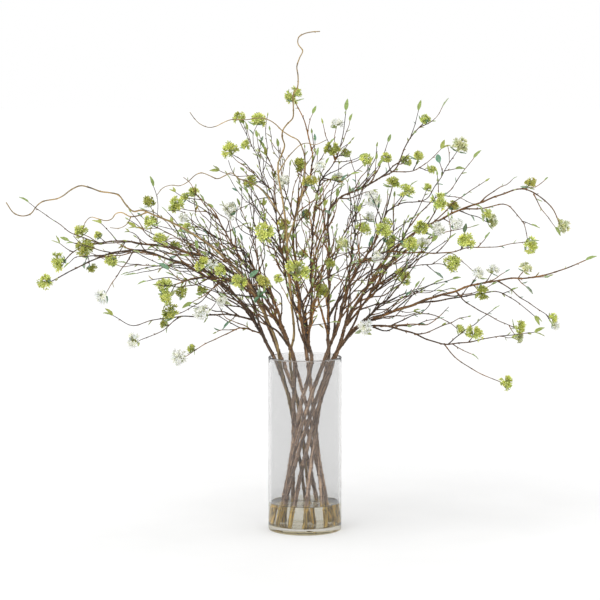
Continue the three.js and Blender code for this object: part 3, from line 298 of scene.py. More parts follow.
      ["lime", 2.8, -3, [27, 55.6, 31, 55.9, 34, 56.5, 35.6, 55.7, 37.5, 53.3, 38.8, 49.5]],
      ["leaf", 2, 1, [38.9, 53]],
      ["lime", 1.8, -1, [31.2, 54.9]],
      ["pale", 2.4, 2, [26.5, 55.4, 29.5, 54.3, 32, 53.6]],
      ["gold", 2, 1.5, [25.4, 56.2]],
      ["white", 2.4, -2, [25.8, 53.2]],
      ["white", 2.4, -2, [22.8, 52.2]],
      ["leaf", 2, 1, [21, 51.4]],
      ["leaf", 1.6, -2, [11, 42.5, 16.5, 47.8, 22.5, 51.2, 28.5, 52.6]],
      ["bud", 1.2, 2, [22, 53.3, 26.6, 57.6, 30.8, 60.4]],
      ["leaf", 2.2, 11, [7.2, 35.7, 8.8, 37.6, 10.9, 40.5, 13.5, 44.5, 15, 47, 17, 51, 18.5, 53.3,
        20, 55.3, 22.5, 57.6, 24.8, 58.8, 26.5, 61.3, 28.9, 64.4]],
      ["leaf", 2, 2, [23.4, 58.2, 26, 57.7, 28.8, 56.6]],
      ["lime", 2.6, -2, [20, 52.4]],
      ["lime", 3.4, -3, [11.4, 41.5, 15, 44.4, 19, 45.8, 23, 46.3, 25.3, 46.2]],
      ["teal", 2.4, 1, [22.3, 44.9]],
      ["leaf", 1.8, 2, [21.8, 46.3, 25, 48, 27.2, 46.6, 28.7, 45.2]],
      ["leaf", 1.6, 2, [10.7, 40.5, 15.4, 44, 20.4, 47.6, 24.8, 50.6]],
      ["lime", 1.6, -2, [17, 51, 19.4, 55.6, 21, 59.4]],
    ]),
  dict(name="branch_right_low", angle=334, ring=OUTER_RING, foot=3.9, depth=-14, tip=("leaf", 2),
    stem=[6.9, 33, 8.6, 34.9, 10.6, 36.2, 15, 37.9, 18, 39, 22, 40.4, 26, 41.6, 29.5, 42.7,
      35.5, 43.7, 38, 43.8, 42, 44.5, 46, 45.9, 48.3, 46.9],
    shoots=[
      ["olive", 2.4, -1, [30.6, 41.4]],
      ["dark", 2.2, 1, [38, 42.4]],
      ["pale", 2.2, -1, [38, 45.6]],
      ["white", 2.2, -1, [29.8, 44.6]],
      ["white", 2, 1, [32.4, 45.2]],
      ["fork", 1.8, -2, [19.4, 39.4, 24.5, 40.1, 30, 41.1, 33.5, 41.3, 36, 40.1, 39.6, 37.2]],
      ["leaf", 1.8, 1, [35.4, 41.6]],
      ["lime", 1.8, -3, [33.2, 43.4, 35.3, 42, 38, 39.8, 41.5, 37.6, 42.7, 36.9]],
      ["white", 1.6, 1, [43.1, 35.6]],
      ["lime", 2.4, 3, [26, 41.5, 27.6, 39.8, 30, 38.2, 34, 36.2, 37, 35.2]],
      ["pale", 1.8, 1, [36.9, 33.4]],
      ["lime", 2.8, 4, [10, 36, 12.2, 38.9, 14, 41.8, 17, 43.8]],
      ["leaf", 2, 4, [12.4, 39, 16, 40.6, 20, 42.1, 22.2, 42.9]],
      ["fork", 2, -4, [9.3, 35.2, 14, 35.5, 18, 34.4, 22, 32.9, 24.5, 32.3, 28, 32.7, 33, 33.6,
        39.6, 34.4]],
      ["lime", 2.8, -1, [29.2, 34.2]],
      ["lime", 1.6, 1, [14.6, 35.6, 18, 37.1, 20, 37.6, 22, 37.4, 24.8, 36.2, 26.7, 35]],
      ["lime", 2.4, -3, [24, 32.4, 26, 30, 30, 27.4, 34.8, 25.7]],
      ["leaf", 1.8, 2, [25.5, 32.2, 27, 31.4, 28.8, 30.6]],
      ["white", 2.6, -3, [10.2, 35.2]],
      ["leaf", 1.6, 2, [15, 37.9, 20, 41.8, 25.4, 43.6]],
      ["leaf", 1.6, -2, [8.6, 34.9, 13, 38.9, 18.4, 41.4, 22.6, 41.6]],
    ]),
  dict(name="willow_left", angle=216, ring=OUTER_RING, foot=3, depth=-16, tip=("bare", 0),
    stem=[-5, 33, -7.2, 38, -9.8, 42.8, -13.5, 47, -18, 50.6, -22.5, 53.2, -26, 54.7, -28, 55.5,
      -29.5, 55.3, -30.8, 56.5, -32, 58.1, -33.5, 58.5, -35, 58.7, -37, 59.4, -38.5, 59.7, -40, 59.1,
      -41.5, 58, -42.5, 57.5, -45, 57, -46, 56.3, -47.1, 54.9, -48.5, 54.5, -50, 55, -51.3, 56.8],
    shoots=[
      ["bare", 0, -3, [-27.2, 55.1, -28.5, 54.6, -30, 54.4, -31.5, 55.1, -32.5, 54.9, -33.2, 54,
        -34.2, 53.7, -35.5, 54, -36.8, 54.3, -37.7, 53.5, -38.2, 52.2]],
      ["bare", 0, 2, [-29.9, 54.4, -30.3, 53.5, -31, 52.8, -32, 52.4, -33.5, 52.5]],
    ]),
  dict(name="willow_top", angle=200, ring=CORE_RING, foot=2.9, depth=4, tip=("bare", 0),
    stem=[-1.9, 34, -2.4, 40, -2.9, 46, -3.2, 52, -3.8, 57, -4.5, 61, -4.6, 63.5, -3.9, 65.3,
      -3.5, 66.6, -3.9, 68, -3.8, 69.2, -3.1, 70.2, -2.1, 71.3, -2, 73, -2, 75.4, -1.3, 76.5,
      -1.2, 78.5, -1.4, 80, -0.9, 81.6, -0.4, 82.7, -1.2, 83.9, -1.1, 85, -0.2, 85.6, 1, 85.9, 2.5, 86],
    shoots=[
      ["bare", 0, -9, [-3.1, 50, -1.4, 55, -0.2, 60, 0, 64, -0.4, 66, -1.2, 67.5, -2.5, 68.2,
        -4, 69.2, -5, 70.2, -6.3, 71, -8, 71.3, -10, 71, -12.7, 71, -14, 70.5, -15.2, 69.9,
        -16.5, 69.7, -18, 70.3, -19, 71.3, -19.7, 72.3]],
      ["bare", 0, -8, [-3.3, 53, -5.5, 56.6, -7.8, 59.4, -10, 60.5, -11.3, 60.9, -12.6, 61.9,
        -13.8, 61.4, -15, 60.9, -16.5, 61.5, -17.7, 61.9, -18.7, 61.6, -20.2, 60.3, -21.5, 59.7,
        -23, 59.8, -24.4, 59.3, -25.5, 58]],
      ["bare", 0, 3, [-4.4, 62, -3, 64.5, -2, 65.6, -0.8, 66.7, 0.4, 67, 1.6, 66.7, 3.8, 67.6]],
    ]),
]

HEADS = ("lime", "white", "olive", "pale", "gold")


def dice(seed):
    """Repeatable numbers from 0 to 1: each is the last one times 16807, kept below a large prime."""
    prime = 2147483647
    state = (seed * 7919 + 12345) % prime

    def roll():
        """The next number."""
        nonlocal state
        state = (state * 16807) % prime
        return state / prime

    return roll


def unit(vectors):
    """Vectors divided by their lengths."""
    return vectors / np.maximum(np.linalg.norm(vectors, axis=-1, keepdims=True), 1e-9)


def lengths_along(points):
    """The length along a line of points from its start to each point."""
    return np.concatenate([[0], np.cumsum(np.linalg.norm(np.diff(points, axis=0), axis=1))])


def even_turns(many):
    """The angles of a full turn in even steps."""
    return np.arange(many) / many * 2 * np.pi


def on_sight(seen, depth):
    """Points on the lines of sight, at these depths. A line of sight runs from the eye through a seen place
    (x, z) on the upright plane through the axis."""
    share = (depth - EYE[1]) / -EYE[1]
    return np.stack([EYE[0] + (seen[..., 0] - EYE[0]) * share, depth,
                     EYE[2] + (seen[..., 1] - EYE[2]) * share], axis=-1)


def in_vase(branch, heights):
    """A stem's places at these heights in the vase: a straight lean between two rings, steeper low down."""
    part = heights / VASE_HEIGHT
    share = LEAN_AT_FOOT * part + (1 - LEAN_AT_FOOT) * part ** 2
    ring = branch["ring"]
    exit_turn = math.radians(branch["angle"])
    foot_turn = math.radians(branch["angle"] - ring["twist"])
    foot = ring["foot"] * np.array([math.cos(foot_turn), math.sin(foot_turn)])
    leave = ring["exit"] * np.array([math.cos(exit_turn), math.sin(exit_turn)])
    flat = foot + (leave - foot) * share[:, None]
    return np.column_stack([flat, heights])


def seen_route(route):
    """A route of the plan as rows of seen places, in millimetres."""
    return np.array(route, float).reshape(-1, 2) * CM


def limb_along(root, seen, depth, root_radius, tip_radius):
    """A limb from its root outwards: its depth changes evenly with the length that is seen, its radius as a
    power of it, so that it thins faster at first."""
    seen = np.vstack([root["seen"], seen])
    lengths = lengths_along(seen)
    share = lengths / lengths[-1]
    points = on_sight(seen, root["point"][1] + depth * share)
    points[0] = root["point"]
    radii = root_radius + (tip_radius - root_radius) * share ** TAPER
    return {"seen": seen, "points": points, "radii": radii, "parent_radius": root.get("radius", 0)}


def grow_stem(branch):
    """The stem: a straight rod in the vase, then its route in the open."""
    heights = np.array([VASE_FLOOR + REST_GAP, *VASE_STEPS], float)
    inside = in_vase(branch, heights)
    leave = inside[-1]
    eye_share = -EYE[1] / (leave[1] - EYE[1])
    seen = np.array([EYE[0] + (leave[0] - EYE[0]) * eye_share, EYE[2] + (leave[2] - EYE[2]) * eye_share])
    rim_radius = branch["foot"] * RIM_SHARE
    root = {"seen": seen, "point": leave}
    limb = limb_along(root, seen_route(branch["stem"]), branch["depth"] * CM - leave[1], rim_radius,
                      STEM_TIP_RADIUS)
    limb["inside"] = inside[:-1]
    limb["inside_radii"] = branch["foot"] + (rim_radius - branch["foot"]) * heights[:-1] / VASE_HEIGHT
    return limb


def wood_at(limb, along):
    """The place at a seen length along a limb, with the limb's radius there."""
    steps = np.linalg.norm(np.diff(limb["seen"], axis=0), axis=1)
    ends = np.cumsum(steps)
    i = min(int(np.searchsorted(ends, along)), len(steps) - 1)
    share = min((along - (ends[i] - steps[i])) / steps[i], 1)
    between = {key: limb[key][i] + (limb[key][i + 1] - limb[key][i]) * share
               for key in ("seen", "points", "radii")}
    return {"seen": between["seen"], "point": between["points"], "radius": between["radii"]}


def nearest_wood(limbs, spot, back):
    """The place on a branch's wood that is seen nearest to a spot, moved back along the wood by a length."""
    best = (math.inf, None, 0)
    for limb in limbs:
        start = limb["seen"][:-1]
        step = np.diff(limb["seen"], axis=0)
        share = np.clip(((spot - start) * step).sum(1) / (step ** 2).sum(1), 0, 1)
        away = np.linalg.norm(start + step * share[:, None] - spot, axis=1)
        i = int(np.argmin(away))
        if away[i] < best[0]:
            lengths = np.linalg.norm(step, axis=1)
            best = (away[i], limb, lengths[:i].sum() + share[i] * lengths[i])
    away, limb, along = best
    return wood_at(limb, max(along - back * away, 0))


def with_tip(limb, kind, size):
    """What a limb carries at its tip. Under a flower head the wood ends below the head's middle."""
    tip = limb["points"][-1]
    course = unit(tip - limb["points"][-2])
    points = limb["points"]
    if kind in HEADS:
        course = unit(course + HEAD_LIFT)
        points = np.vstack([points[:-1], tip - course * NECK * size * CM / 2])
    return {**limb, "points": points, "kind": kind, "size": size * CM, "tip": tip, "course": course}


def grow_shoot(limbs, shoot, depth):
    """One shoot with a given change of depth: a limb that starts in its parent's middle."""
    kind, size, _, route = shoot
    seen = seen_route(route)
    if len(seen) == 1:
        root = nearest_wood(limbs, seen[0], STALK_SLANT)
        root_radius = min(STALK_RADIUS * STALK_FLARE, root["radius"])
        return with_tip(limb_along(root, seen, depth, root_radius, STALK_RADIUS), kind, size)
    root = nearest_wood(limbs, seen[0], 0)
    length = np.linalg.norm(np.diff(seen, axis=0), axis=1).sum()
    root_radius = min(root["radius"] * ROOT_SHARE, TWIG_ROOT_RADIUS + TWIG_ROOT_GROWTH * length)
    return with_tip(limb_along(root, seen[1:], depth, root_radius, TWIG_TIP_RADIUS), kind, size)


def balls_of(limb):
    """Balls that fill a limb and what it carries, as rows of centre and radius."""
    rows = []
    for i in range(1, len(limb["points"])):
        start, end = limb["points"][i - 1], limb["points"][i]
        steps = math.ceil(np.linalg.norm(end - start) / SAMPLE_STEP)
        share = np.arange(0 if i == 1 else 1, steps + 1)[:, None] / steps
        radii = limb["radii"][i - 1] + (limb["radii"][i] - limb["radii"][i - 1]) * share
        rows.append(np.hstack([start + (end - start) * share, radii]))
    kind, size, tip, course = limb["kind"], limb["size"], limb["tip"], limb["course"]
    if kind in HEADS:
        rows.append([[*tip, size * 0.52]])
    elif kind in LEAF_GROUPS:
        rows.append([[*(tip + course * size * 0.3), size * 0.6]])
    elif size > 0:
        rows.append([[*(tip + course * size * share), size * 0.25] for share in (0.25, 0.75)])
    return np.vstack(rows)


def gap_between(balls, others):
    """The least gap between two sets of balls."""
    away = np.linalg.norm(balls[:, None, :3] - others[None, :, :3], axis=2)
    return (away - balls[:, None, 3] - others[None, :, 3]).min()


def grow_all(plan):
    """Every branch's limbs. A shoot's tip swings nearer or deeper until it is clear of the other branches."""
    grown = [[with_tip(grow_stem(branch), *branch["tip"])] for branch in plan]
    taken = [[balls_of(limbs[0])] for limbs in grown]
    for index, branch in enumerate(plan):
        limbs = grown[index]
        others = np.vstack([row for k, rows in enumerate(taken) if k != index for row in rows])
        for shoot in branch["shoots"]:
            best = (-math.inf, None)
            for swing in range(SWINGS):
                if best[0] >= CLEARANCE:
                    break
                side = 1 if swing % 2 else -1
                depth = shoot[2] * CM + side * math.ceil(swing / 2) * SWING_STEP
                limb = grow_shoot(limbs, shoot, depth)
                gap = gap_between(balls_of(limb), others)
                if gap > best[0]:
                    best = (gap, limb)
            limbs.append(best[1])
            taken[index].append(balls_of(best[1]))
    return grown


class Skin:
    """The surfaces of one piece as they gather: points, faces and what the material reads at each point."""

    def __init__(self):
        self.points = []
        self.faces = {3: [], 4: []}
        self.notes = {}
        self.count = 0

    def add(self, points, quads=None, triangles=None, **notes):
        """Takes in one surface. Its faces count from its own first point, and a note has a row for each
        point."""
        points = np.reshape(points, (-1, 3))
        for width, faces in ((4, quads), (3, triangles)):
            if faces is not None and len(faces):
                self.faces[width].append(np.reshape(faces, (-1, width)) + self.count)
        for name, values in notes.items():
            self.notes.setdefault(name, []).append(np.asarray(values, float))
        self.points.append(points)
        self.count += len(points)

    def make(self, name, material, sharp=40):
        """The piece as an object in metres, with its attributes and its material."""
        points = np.vstack(self.points) * MM
        faces = [face for width in (4, 3) if self.faces[width]
                 for face in np.vstack(self.faces[width]).tolist()]
        mesh = bpy.data.meshes.new(name)
        mesh.from_pydata(points.tolist(), [], faces)
        kinds = {1: ("FLOAT", "value"), 3: ("FLOAT_VECTOR", "vector"), 4: ("FLOAT_COLOR", "color")}
        for note, rows in self.notes.items():
            values = np.concatenate(rows)
            kind, field = kinds[values.shape[1] if values.ndim > 1 else 1]
            attribute = mesh.attributes.new(note, kind, "POINT")
            attribute.data.foreach_set(field, values.astype(np.float32).ravel())
        mesh.shade_smooth()
        mesh.set_sharp_from_angle(angle=math.radians(sharp))
        mesh.materials.append(material)
        piece = bpy.data.objects.new(name, mesh)
        bpy.context.scene.collection.objects.link(piece)
        return piece


def ring_faces(rings, sides, start=0):
    """The quads between neighbouring rings of a tube, each ring with the same number of points."""
    ring = np.arange(rings - 1)[:, None] * sides + start
    here = np.arange(sides)
    after = (here + 1) % sides
    corners = [ring + here, ring + after, ring + after + sides, ring + here + sides]
    return np.stack(corners, axis=-1).reshape(-1, 4)


def fan_faces(pole, ring, outwards):
    """The triangles between a pole and a ring of points, turned so that they face along the given way."""
    after = np.roll(ring, -1)
    pair = (ring, after) if outwards else (after, ring)
    return np.column_stack([np.full(len(ring), pole), *pair])


def end_caps(count, sides, outwards=True):
    """The triangles that close a row of rings of count points in all, with the two poles numbered next."""
    return np.vstack([fan_faces(count, np.arange(sides), not outwards),
                      fan_faces(count + 1, np.arange(count - sides, count), outwards)])


def smooth_line(points, radii):
    """A smooth curve through points, in small steps: each point is blended from the four knots round it,
    which stand apart by the square roots of their distances."""
    line = np.vstack([2 * points[0] - points[1], points, 2 * points[-1] - points[-2]])
    gaps = np.sqrt(np.linalg.norm(np.diff(line, axis=0), axis=1))
    knots = np.concatenate([[0], np.cumsum(gaps)])
    share = np.linspace(0, 1, CURVE_STEPS, endpoint=False)
    time = (knots[1:-2, None] + gaps[1:-1, None] * share)[..., None]
    places = [line[k:len(line) - 3 + k, None, :] for k in range(4)]
    times = [knots[k:len(knots) - 3 + k, None, None] for k in range(4)]

    def between(low, high, start, end):
        """Two values blended by how far the time is from start to end."""
        return (low * (end - time) + high * (time - start)) / (end - start)

    straight = [between(places[k], places[k + 1], times[k], times[k + 1]) for k in range(3)]
    bent = [between(straight[k], straight[k + 1], times[k], times[k + 2]) for k in range(2)]
    curve = between(*bent, times[1], times[2]).reshape(-1, 3)
    curve = np.vstack([curve, points[-1]])
    steps = np.linspace(0, len(points) - 1, len(curve))
    return curve, np.interp(steps, np.arange(len(points)), radii)


def frames_of(line):
    """Directions along and square to a line, the first square one near the way the line turns least in."""
    course = unit(np.gradient(line, axis=0))
    least = np.linalg.svd(course, full_matrices=False)[2][-1]
    across = unit(least - course * (course @ least)[:, None])
    return course, across, np.cross(course, across)


def limb_line(limb, step, knots):
    """A limb's line, measured along its length: samples every step and closer round each knot."""
    points, radii = limb["points"], limb["radii"]
    if "inside" in limb:
        points = np.vstack([limb["inside"], points])
        radii = np.concatenate([limb["inside_radii"], radii])
    curve, widths = smooth_line(points, radii)
    lengths = lengths_along(curve)
    total = lengths[-1]
    marks = knots(total)
    near = (marks[:, None] + ROUND_A_KNOT).ravel()
    even = np.linspace(0, total, max(int(total / step), 3) + 1)
    along = np.unique(np.round(np.concatenate([even, near[(near > 0) & (near < total)]]), 3))
    along = along[np.concatenate([[True], np.diff(along) > LEAST_STEP])]
    along[-1] = total
    line = np.column_stack([np.interp(along, lengths, curve[:, k]) for k in range(3)])
    return line, np.interp(along, lengths, widths), along, marks


def tube(skin, line, frames, radii, sides, grain_start, **notes):
    """A closed tube: p = line + radius (cos a across + sin a up), rounded off at both ends to a pole. The
    note grain holds each point's place on the limb as if it were straight, so bark can run along it."""
    course, across, up = frames
    turn = even_turns(sides)
    round_way = np.cos(turn)[:, None] * across[:, None] + np.sin(turn)[:, None] * up[:, None]
    body = line[:, None] + round_way * radii[:, None, None]
    foot = line[0] - course[0] * radii[0] * 0.45 + round_way[0] * radii[0] * 0.7
    tip = line[-1] + course[-1] * radii[-1] * 0.55 + round_way[-1] * radii[-1] * 0.7
    poles = [line[0] - course[0] * radii[0] * 0.6, line[-1] + course[-1] * radii[-1] * 0.85]
    rings = len(line) + 2
    points = np.vstack([foot, body.reshape(-1, 3), tip, poles])
    count = rings * sides
    along = lengths_along(line)
    along = np.concatenate([[0], along, [along[-1]]]) + grain_start
    wide = np.concatenate([[radii[0]], radii, [radii[-1]]])
    grain = np.stack([np.cos(turn) * wide[:, None], np.sin(turn) * wide[:, None],
                      np.broadcast_to(along[:, None], (rings, sides))], axis=-1).reshape(-1, 3)
    grain = np.vstack([grain, [0, 0, along[0]], [0, 0, along[-1]]])
    spread = {}
    for name, values in notes.items():
        of_rings = np.concatenate([values[:1], values, values[-1:]])
        spread[name] = np.concatenate([np.repeat(of_rings, sides), [values[0], values[-1]]])
    skin.add(points, quads=ring_faces(rings, sides), triangles=end_caps(count, sides),
             grain=grain * MM, **spread)


def copies(skin, shape, centres, bases, scales, each, shared):
    """A small shape set down many times: each point is its centre plus the shape's point times the size,
    along the three directions of its base. Notes are for each copy, or for each point of the shape."""
    template, quads, triangles = shape
    many, wide = len(centres), len(template)
    points = centres[:, None] + (template[None] * scales[:, None]) @ bases
    jump = np.arange(many)[:, None, None] * wide
    notes = {name: np.repeat(values, wide, axis=0) for name, values in each.items()}
    notes |= {name: np.concatenate([values] * many) for name, values in shared.items()}
    quads = None if quads is None else quads[None] + jump
    skin.add(points, quads=quads, triangles=triangles[None] + jump, **notes)


def bases_of(normals, turns):
    """Three directions for each copy: two square to its normal, turned on by an angle, and the normal."""
    helper = np.where(np.abs(normals[:, 2:]) > 0.9, [[1.0, 0, 0]], [[0, 0, 1.0]])
    first = unit(np.cross(helper, normals))
    second = np.cross(normals, first)
    cos, sin = np.cos(turns)[:, None], np.sin(turns)[:, None]
    return np.stack([first * cos + second * sin, second * cos - first * sin, normals], axis=1)


def spindle(sides, profile):
    """A small closed bud along z: rings of the profile's (height, radius) between poles at 0 and 1."""
    turn = even_turns(sides)
    rings = [np.column_stack([np.cos(turn) * radius, np.sin(turn) * radius, np.full(sides, height)])
             for height, radius in profile]
    points = np.vstack([*rings, [[0, 0, 0], [0, 0, 1]]])
    return points, ring_faces(len(profile), sides), end_caps(len(profile) * sides, sides)


def floret():
    """A closed floret on z with five petals. Its rim's radius is 0.3 plus 0.7 times the size of the cosine of
    2.5 times the angle, to the 0.8, so that the petals stand apart. The rim rises as the square of its
    radius, and a small boss stands in the middle."""
    turn = even_turns(20)
    reach = 0.3 + 0.7 * np.abs(np.cos(2.5 * turn)) ** 0.8
    rim = np.column_stack([np.cos(turn) * reach, np.sin(turn) * reach, 0.42 * reach ** 2 + 0.02])
    lobes = even_turns(5)
    hollow = np.column_stack([np.cos(lobes) * 0.4, np.sin(lobes) * 0.4, np.full(5, 0.0)])
    points = np.vstack([rim, hollow, [[0, 0, 0.26], [0, 0, -0.34]]])
    petal = np.arange(5)
    ring = 20 + petal
    after = 20 + (petal + 1) % 5
    boss = fan_faces(25, ring, True)
    petals = []
    for step in (-2, -1, 0, 1):
        petals.append(np.column_stack([ring, (4 * petal + step) % 20, (4 * petal + step + 1) % 20]))
    petals.append(np.column_stack([ring, (4 * petal + 2) % 20, after]))
    under = fan_faces(26, np.arange(20), False)
    out = np.concatenate([reach, np.full(5, 0.4), [0, 0]])
    return (points, None, np.vstack([boss, *petals, under])), out


def square_to(course, start):
    """Directions square to a course, the first one turned on from a given direction."""
    across = start - course * (start @ course)
    if across @ across < 0.01:
        across = np.array([0, 1, 0]) - course * course[1]
    across = unit(across)
    return across, np.cross(course, across)


def across_at_tip(limb):
    """The direction square to a limb at its tip, carried along its points without twist."""
    points = limb["points"] if "inside" not in limb else np.vstack([limb["inside"], limb["points"]])
    steps = unit(np.diff(points, axis=0))
    courses = unit(np.vstack([steps[:1], steps[:-1] + steps[1:], steps[-1:]]))
    if "inside" in limb:
        courses[0] = (0, 0, 1)
    across = np.array([0, 1.0, 0]) if abs(courses[0][0]) > 0.8 else np.array([1.0, 0, 0])
    for course in courses:
        across = unit(across - course * (across @ course))
    return across


def leaf_rows(limb, seed):
    """The leaves at a limb's tip, as rows of base, course, side and length, as in the part's own source."""
    if limb["kind"] in HEADS or limb["kind"] in ("bare", "bud"):
        return []
    roll = dice(seed)
    across = across_at_tip(limb)
    side, up = square_to(limb["course"], across)
    spread, count, share = LEAF_GROUPS.get(limb["kind"], (0, 1, 1))
    rows = []
    for k in range(count):
        turn = (k / count + 0.25 * roll()) * 2 * math.pi
        way = unit(limb["course"] + side * math.cos(turn) * spread + up * math.sin(turn) * spread)
        level, rise = square_to(way, np.cross(LEAF_LEVEL, way))
        tilt = (roll() - 0.5) * LEAF_ROLL
        rows.append([limb["tip"], way, level * math.cos(tilt) + rise * math.sin(tilt), limb["size"] * share])
    return rows


def leaves(skin, base, course, side, length, tint, rng):
    """Closed pointed blades. At a share t of the length the half-width is 0.185 of the length times the 0.85
    power of the sine of pi times t to the 0.75. The edges stand above the midrib by a share of the width, and
    the blade bends up or down as the square of t."""
    many = len(length)
    up = np.cross(course, side)
    share = np.array([0.0, 0.07, 0.18, 0.32, 0.48, 0.64, 0.8, 0.92])
    half = np.maximum(0.185 * np.sin(np.pi * share ** 0.75) ** 0.85, 0.022)
    across = np.array([-1, -0.5, 0, 0.5, 1, 0.5, 0, -0.5])
    lower = np.array([0, 0, 0, 0, 0, 1, 1, 1])
    bend = rng.uniform(-0.22, 0.1, many)
    ripple = rng.uniform(0, 2 * np.pi, many)
    length = np.asarray(length)[:, None, None]
    wide = across * half[:, None] * length
    fold = np.abs(across) * half[:, None] * 0.42
    wave = 0.02 * np.abs(across) * np.sin(share[:, None] * 16 + ripple[:, None, None] + across)
    lift = (fold + bend[:, None, None] * share[:, None] ** 2 + wave) * length
    lift = lift - lower * np.minimum(0.55, 0.6 * np.abs(half[:, None] * length))
    ahead = np.broadcast_to(share[:, None] * length, wide.shape)
    points = (base[:, None, None] + course[:, None, None] * ahead[..., None]
              + side[:, None, None] * wide[..., None]
              + up[:, None, None] * lift[..., None]).reshape(many, -1, 3)
    foot = base - course * 0.6
    tip = base + course * length[:, 0] + up * (bend[:, None] * length[:, 0])
    points = np.concatenate([points, foot[:, None], tip[:, None]], axis=1)
    rings, sides = len(share), len(across)
    count = rings * sides
    quads = ring_faces(rings, sides)[:, ::-1]
    caps = end_caps(count, sides, False)
    parts = [np.broadcast_to(values, (rings, sides)) for values in (share[:, None], across, lower)]
    blade = np.vstack([np.stack(parts, axis=-1).reshape(-1, 3), [[0, 0, 0], [1, 0, 0]]])
    jump = np.arange(many)[:, None, None] * (count + 2)
    skin.add(points, quads=quads[None] + jump, triangles=caps[None] + jump,
             blade=np.tile(blade, (many, 1)), tint=np.repeat(tint, count + 2, axis=0))


def turned(name, profile, material, sides=128, sharp=30):
    """A solid turned about the axis from its profile of (radius, height), from the bottom's middle round to
    the middle again, with a pole at each end."""
    profile = np.array(profile, float)
    turn = even_turns(sides)
    ring = profile[1:-1]
    points = np.stack([ring[:, :1] * np.cos(turn), ring[:, :1] * np.sin(turn),
                       np.broadcast_to(ring[:, 1:], (len(ring), sides))], axis=-1).reshape(-1, 3)
    points = np.vstack([points, [[0, 0, profile[0, 1]], [0, 0, profile[-1, 1]]]])
    skin = Skin()
    skin.add(points, quads=ring_faces(len(ring), sides), triangles=end_caps(len(ring) * sides, sides))
    return skin.make(name, material, sharp)


def corner(centre, radius, start, end, steps):
    """Points of a round corner in a profile, from one angle to another in degrees."""
    turn = np.radians(np.linspace(start, end, steps))
    return [(centre[0] + radius * math.cos(a), centre[1] + radius * math.sin(a)) for a in turn]


def paint(code):
    """A colour of six hex digits as the linear red, green, blue and alpha that nodes read."""
    share = np.array([int(code[i:i + 2], 16) for i in (0, 2, 4)]) / 255
    linear = np.where(share <= 0.04045, share / 12.92, ((share + 0.055) / 1.055) ** 2.4)
    return (*linear.tolist(), 1.0)


class Board:
    """A node tree, with short ways to place its nodes and join them."""

    def __init__(self, tree):
        self.tree = tree

    def place(self, kind, inputs=None, **settings):
        """A new node with its settings, and its inputs fed by name or number."""
        made = self.tree.nodes.new(kind)
        for name, value in settings.items():
            setattr(made, name, value)
        for name, value in (inputs or {}).items():
            self.feed(made.inputs[name], value)
        return made

    def feed(self, socket, value):
        """Joins an output to a socket, or sets a plain value on it."""
        if isinstance(value, bpy.types.NodeSocket):
            self.tree.links.new(value, socket)
        else:
            socket.default_value = value

    def maths(self, operation, *values):
        """The result of one operation on values."""
        return self.place("ShaderNodeMath", dict(enumerate(values)), operation=operation).outputs[0]

    def between(self, value, low, high, out_low=0.0, out_high=1.0):
        """A value eased from one range to another."""
        inputs = {"Value": value, "From Min": low, "From Max": high, "To Min": out_low, "To Max": out_high}
        eased = self.place("ShaderNodeMapRange", inputs, interpolation_type="SMOOTHSTEP")
        return eased.outputs["Result"]

    def colour(self, share, first, second, blend="MIX"):
        """Two colours blended, the second one by its share."""
        inputs = {0: share, 6: first, 7: second}
        return self.place("ShaderNodeMix", inputs, data_type="RGBA", blend_type=blend).outputs[2]

    def grey(self, value):
        """A value as a grey colour."""
        return self.place("ShaderNodeCombineXYZ", {0: value, 1: value, 2: value}).outputs[0]

    def note(self, name, output):
        """What a piece's mesh holds under a name."""
        return self.place("ShaderNodeAttribute", attribute_name=name).outputs[output]

    def group(self, tree, **inputs):
        """The outputs of a shared node group with these inputs."""
        return self.place("ShaderNodeGroup", inputs, node_tree=tree).outputs

    def raise_surface(self, shader, height, strength, depth):
        """Lets a height raise the shader's surface."""
        bump = self.place("ShaderNodeBump", {"Height": height, "Strength": strength, "Distance": depth})
        self.feed(shader.inputs["Normal"], bump.outputs["Normal"])


def new_group(name, inputs, outputs):
    """A shader node group with named inputs and outputs: its tree, its board, its input and output nodes."""
    tree = bpy.data.node_groups.new(name, "ShaderNodeTree")
    for label, kind, value in inputs:
        socket = tree.interface.new_socket(name=label, in_out="INPUT", socket_type=kind)
        if value is not None:
            socket.default_value = value
    for label in outputs:
        tree.interface.new_socket(name=label, in_out="OUTPUT", socket_type="NodeSocketFloat")
    board = Board(tree)
    return tree, board, board.place("NodeGroupInput").outputs, board.place("NodeGroupOutput").inputs


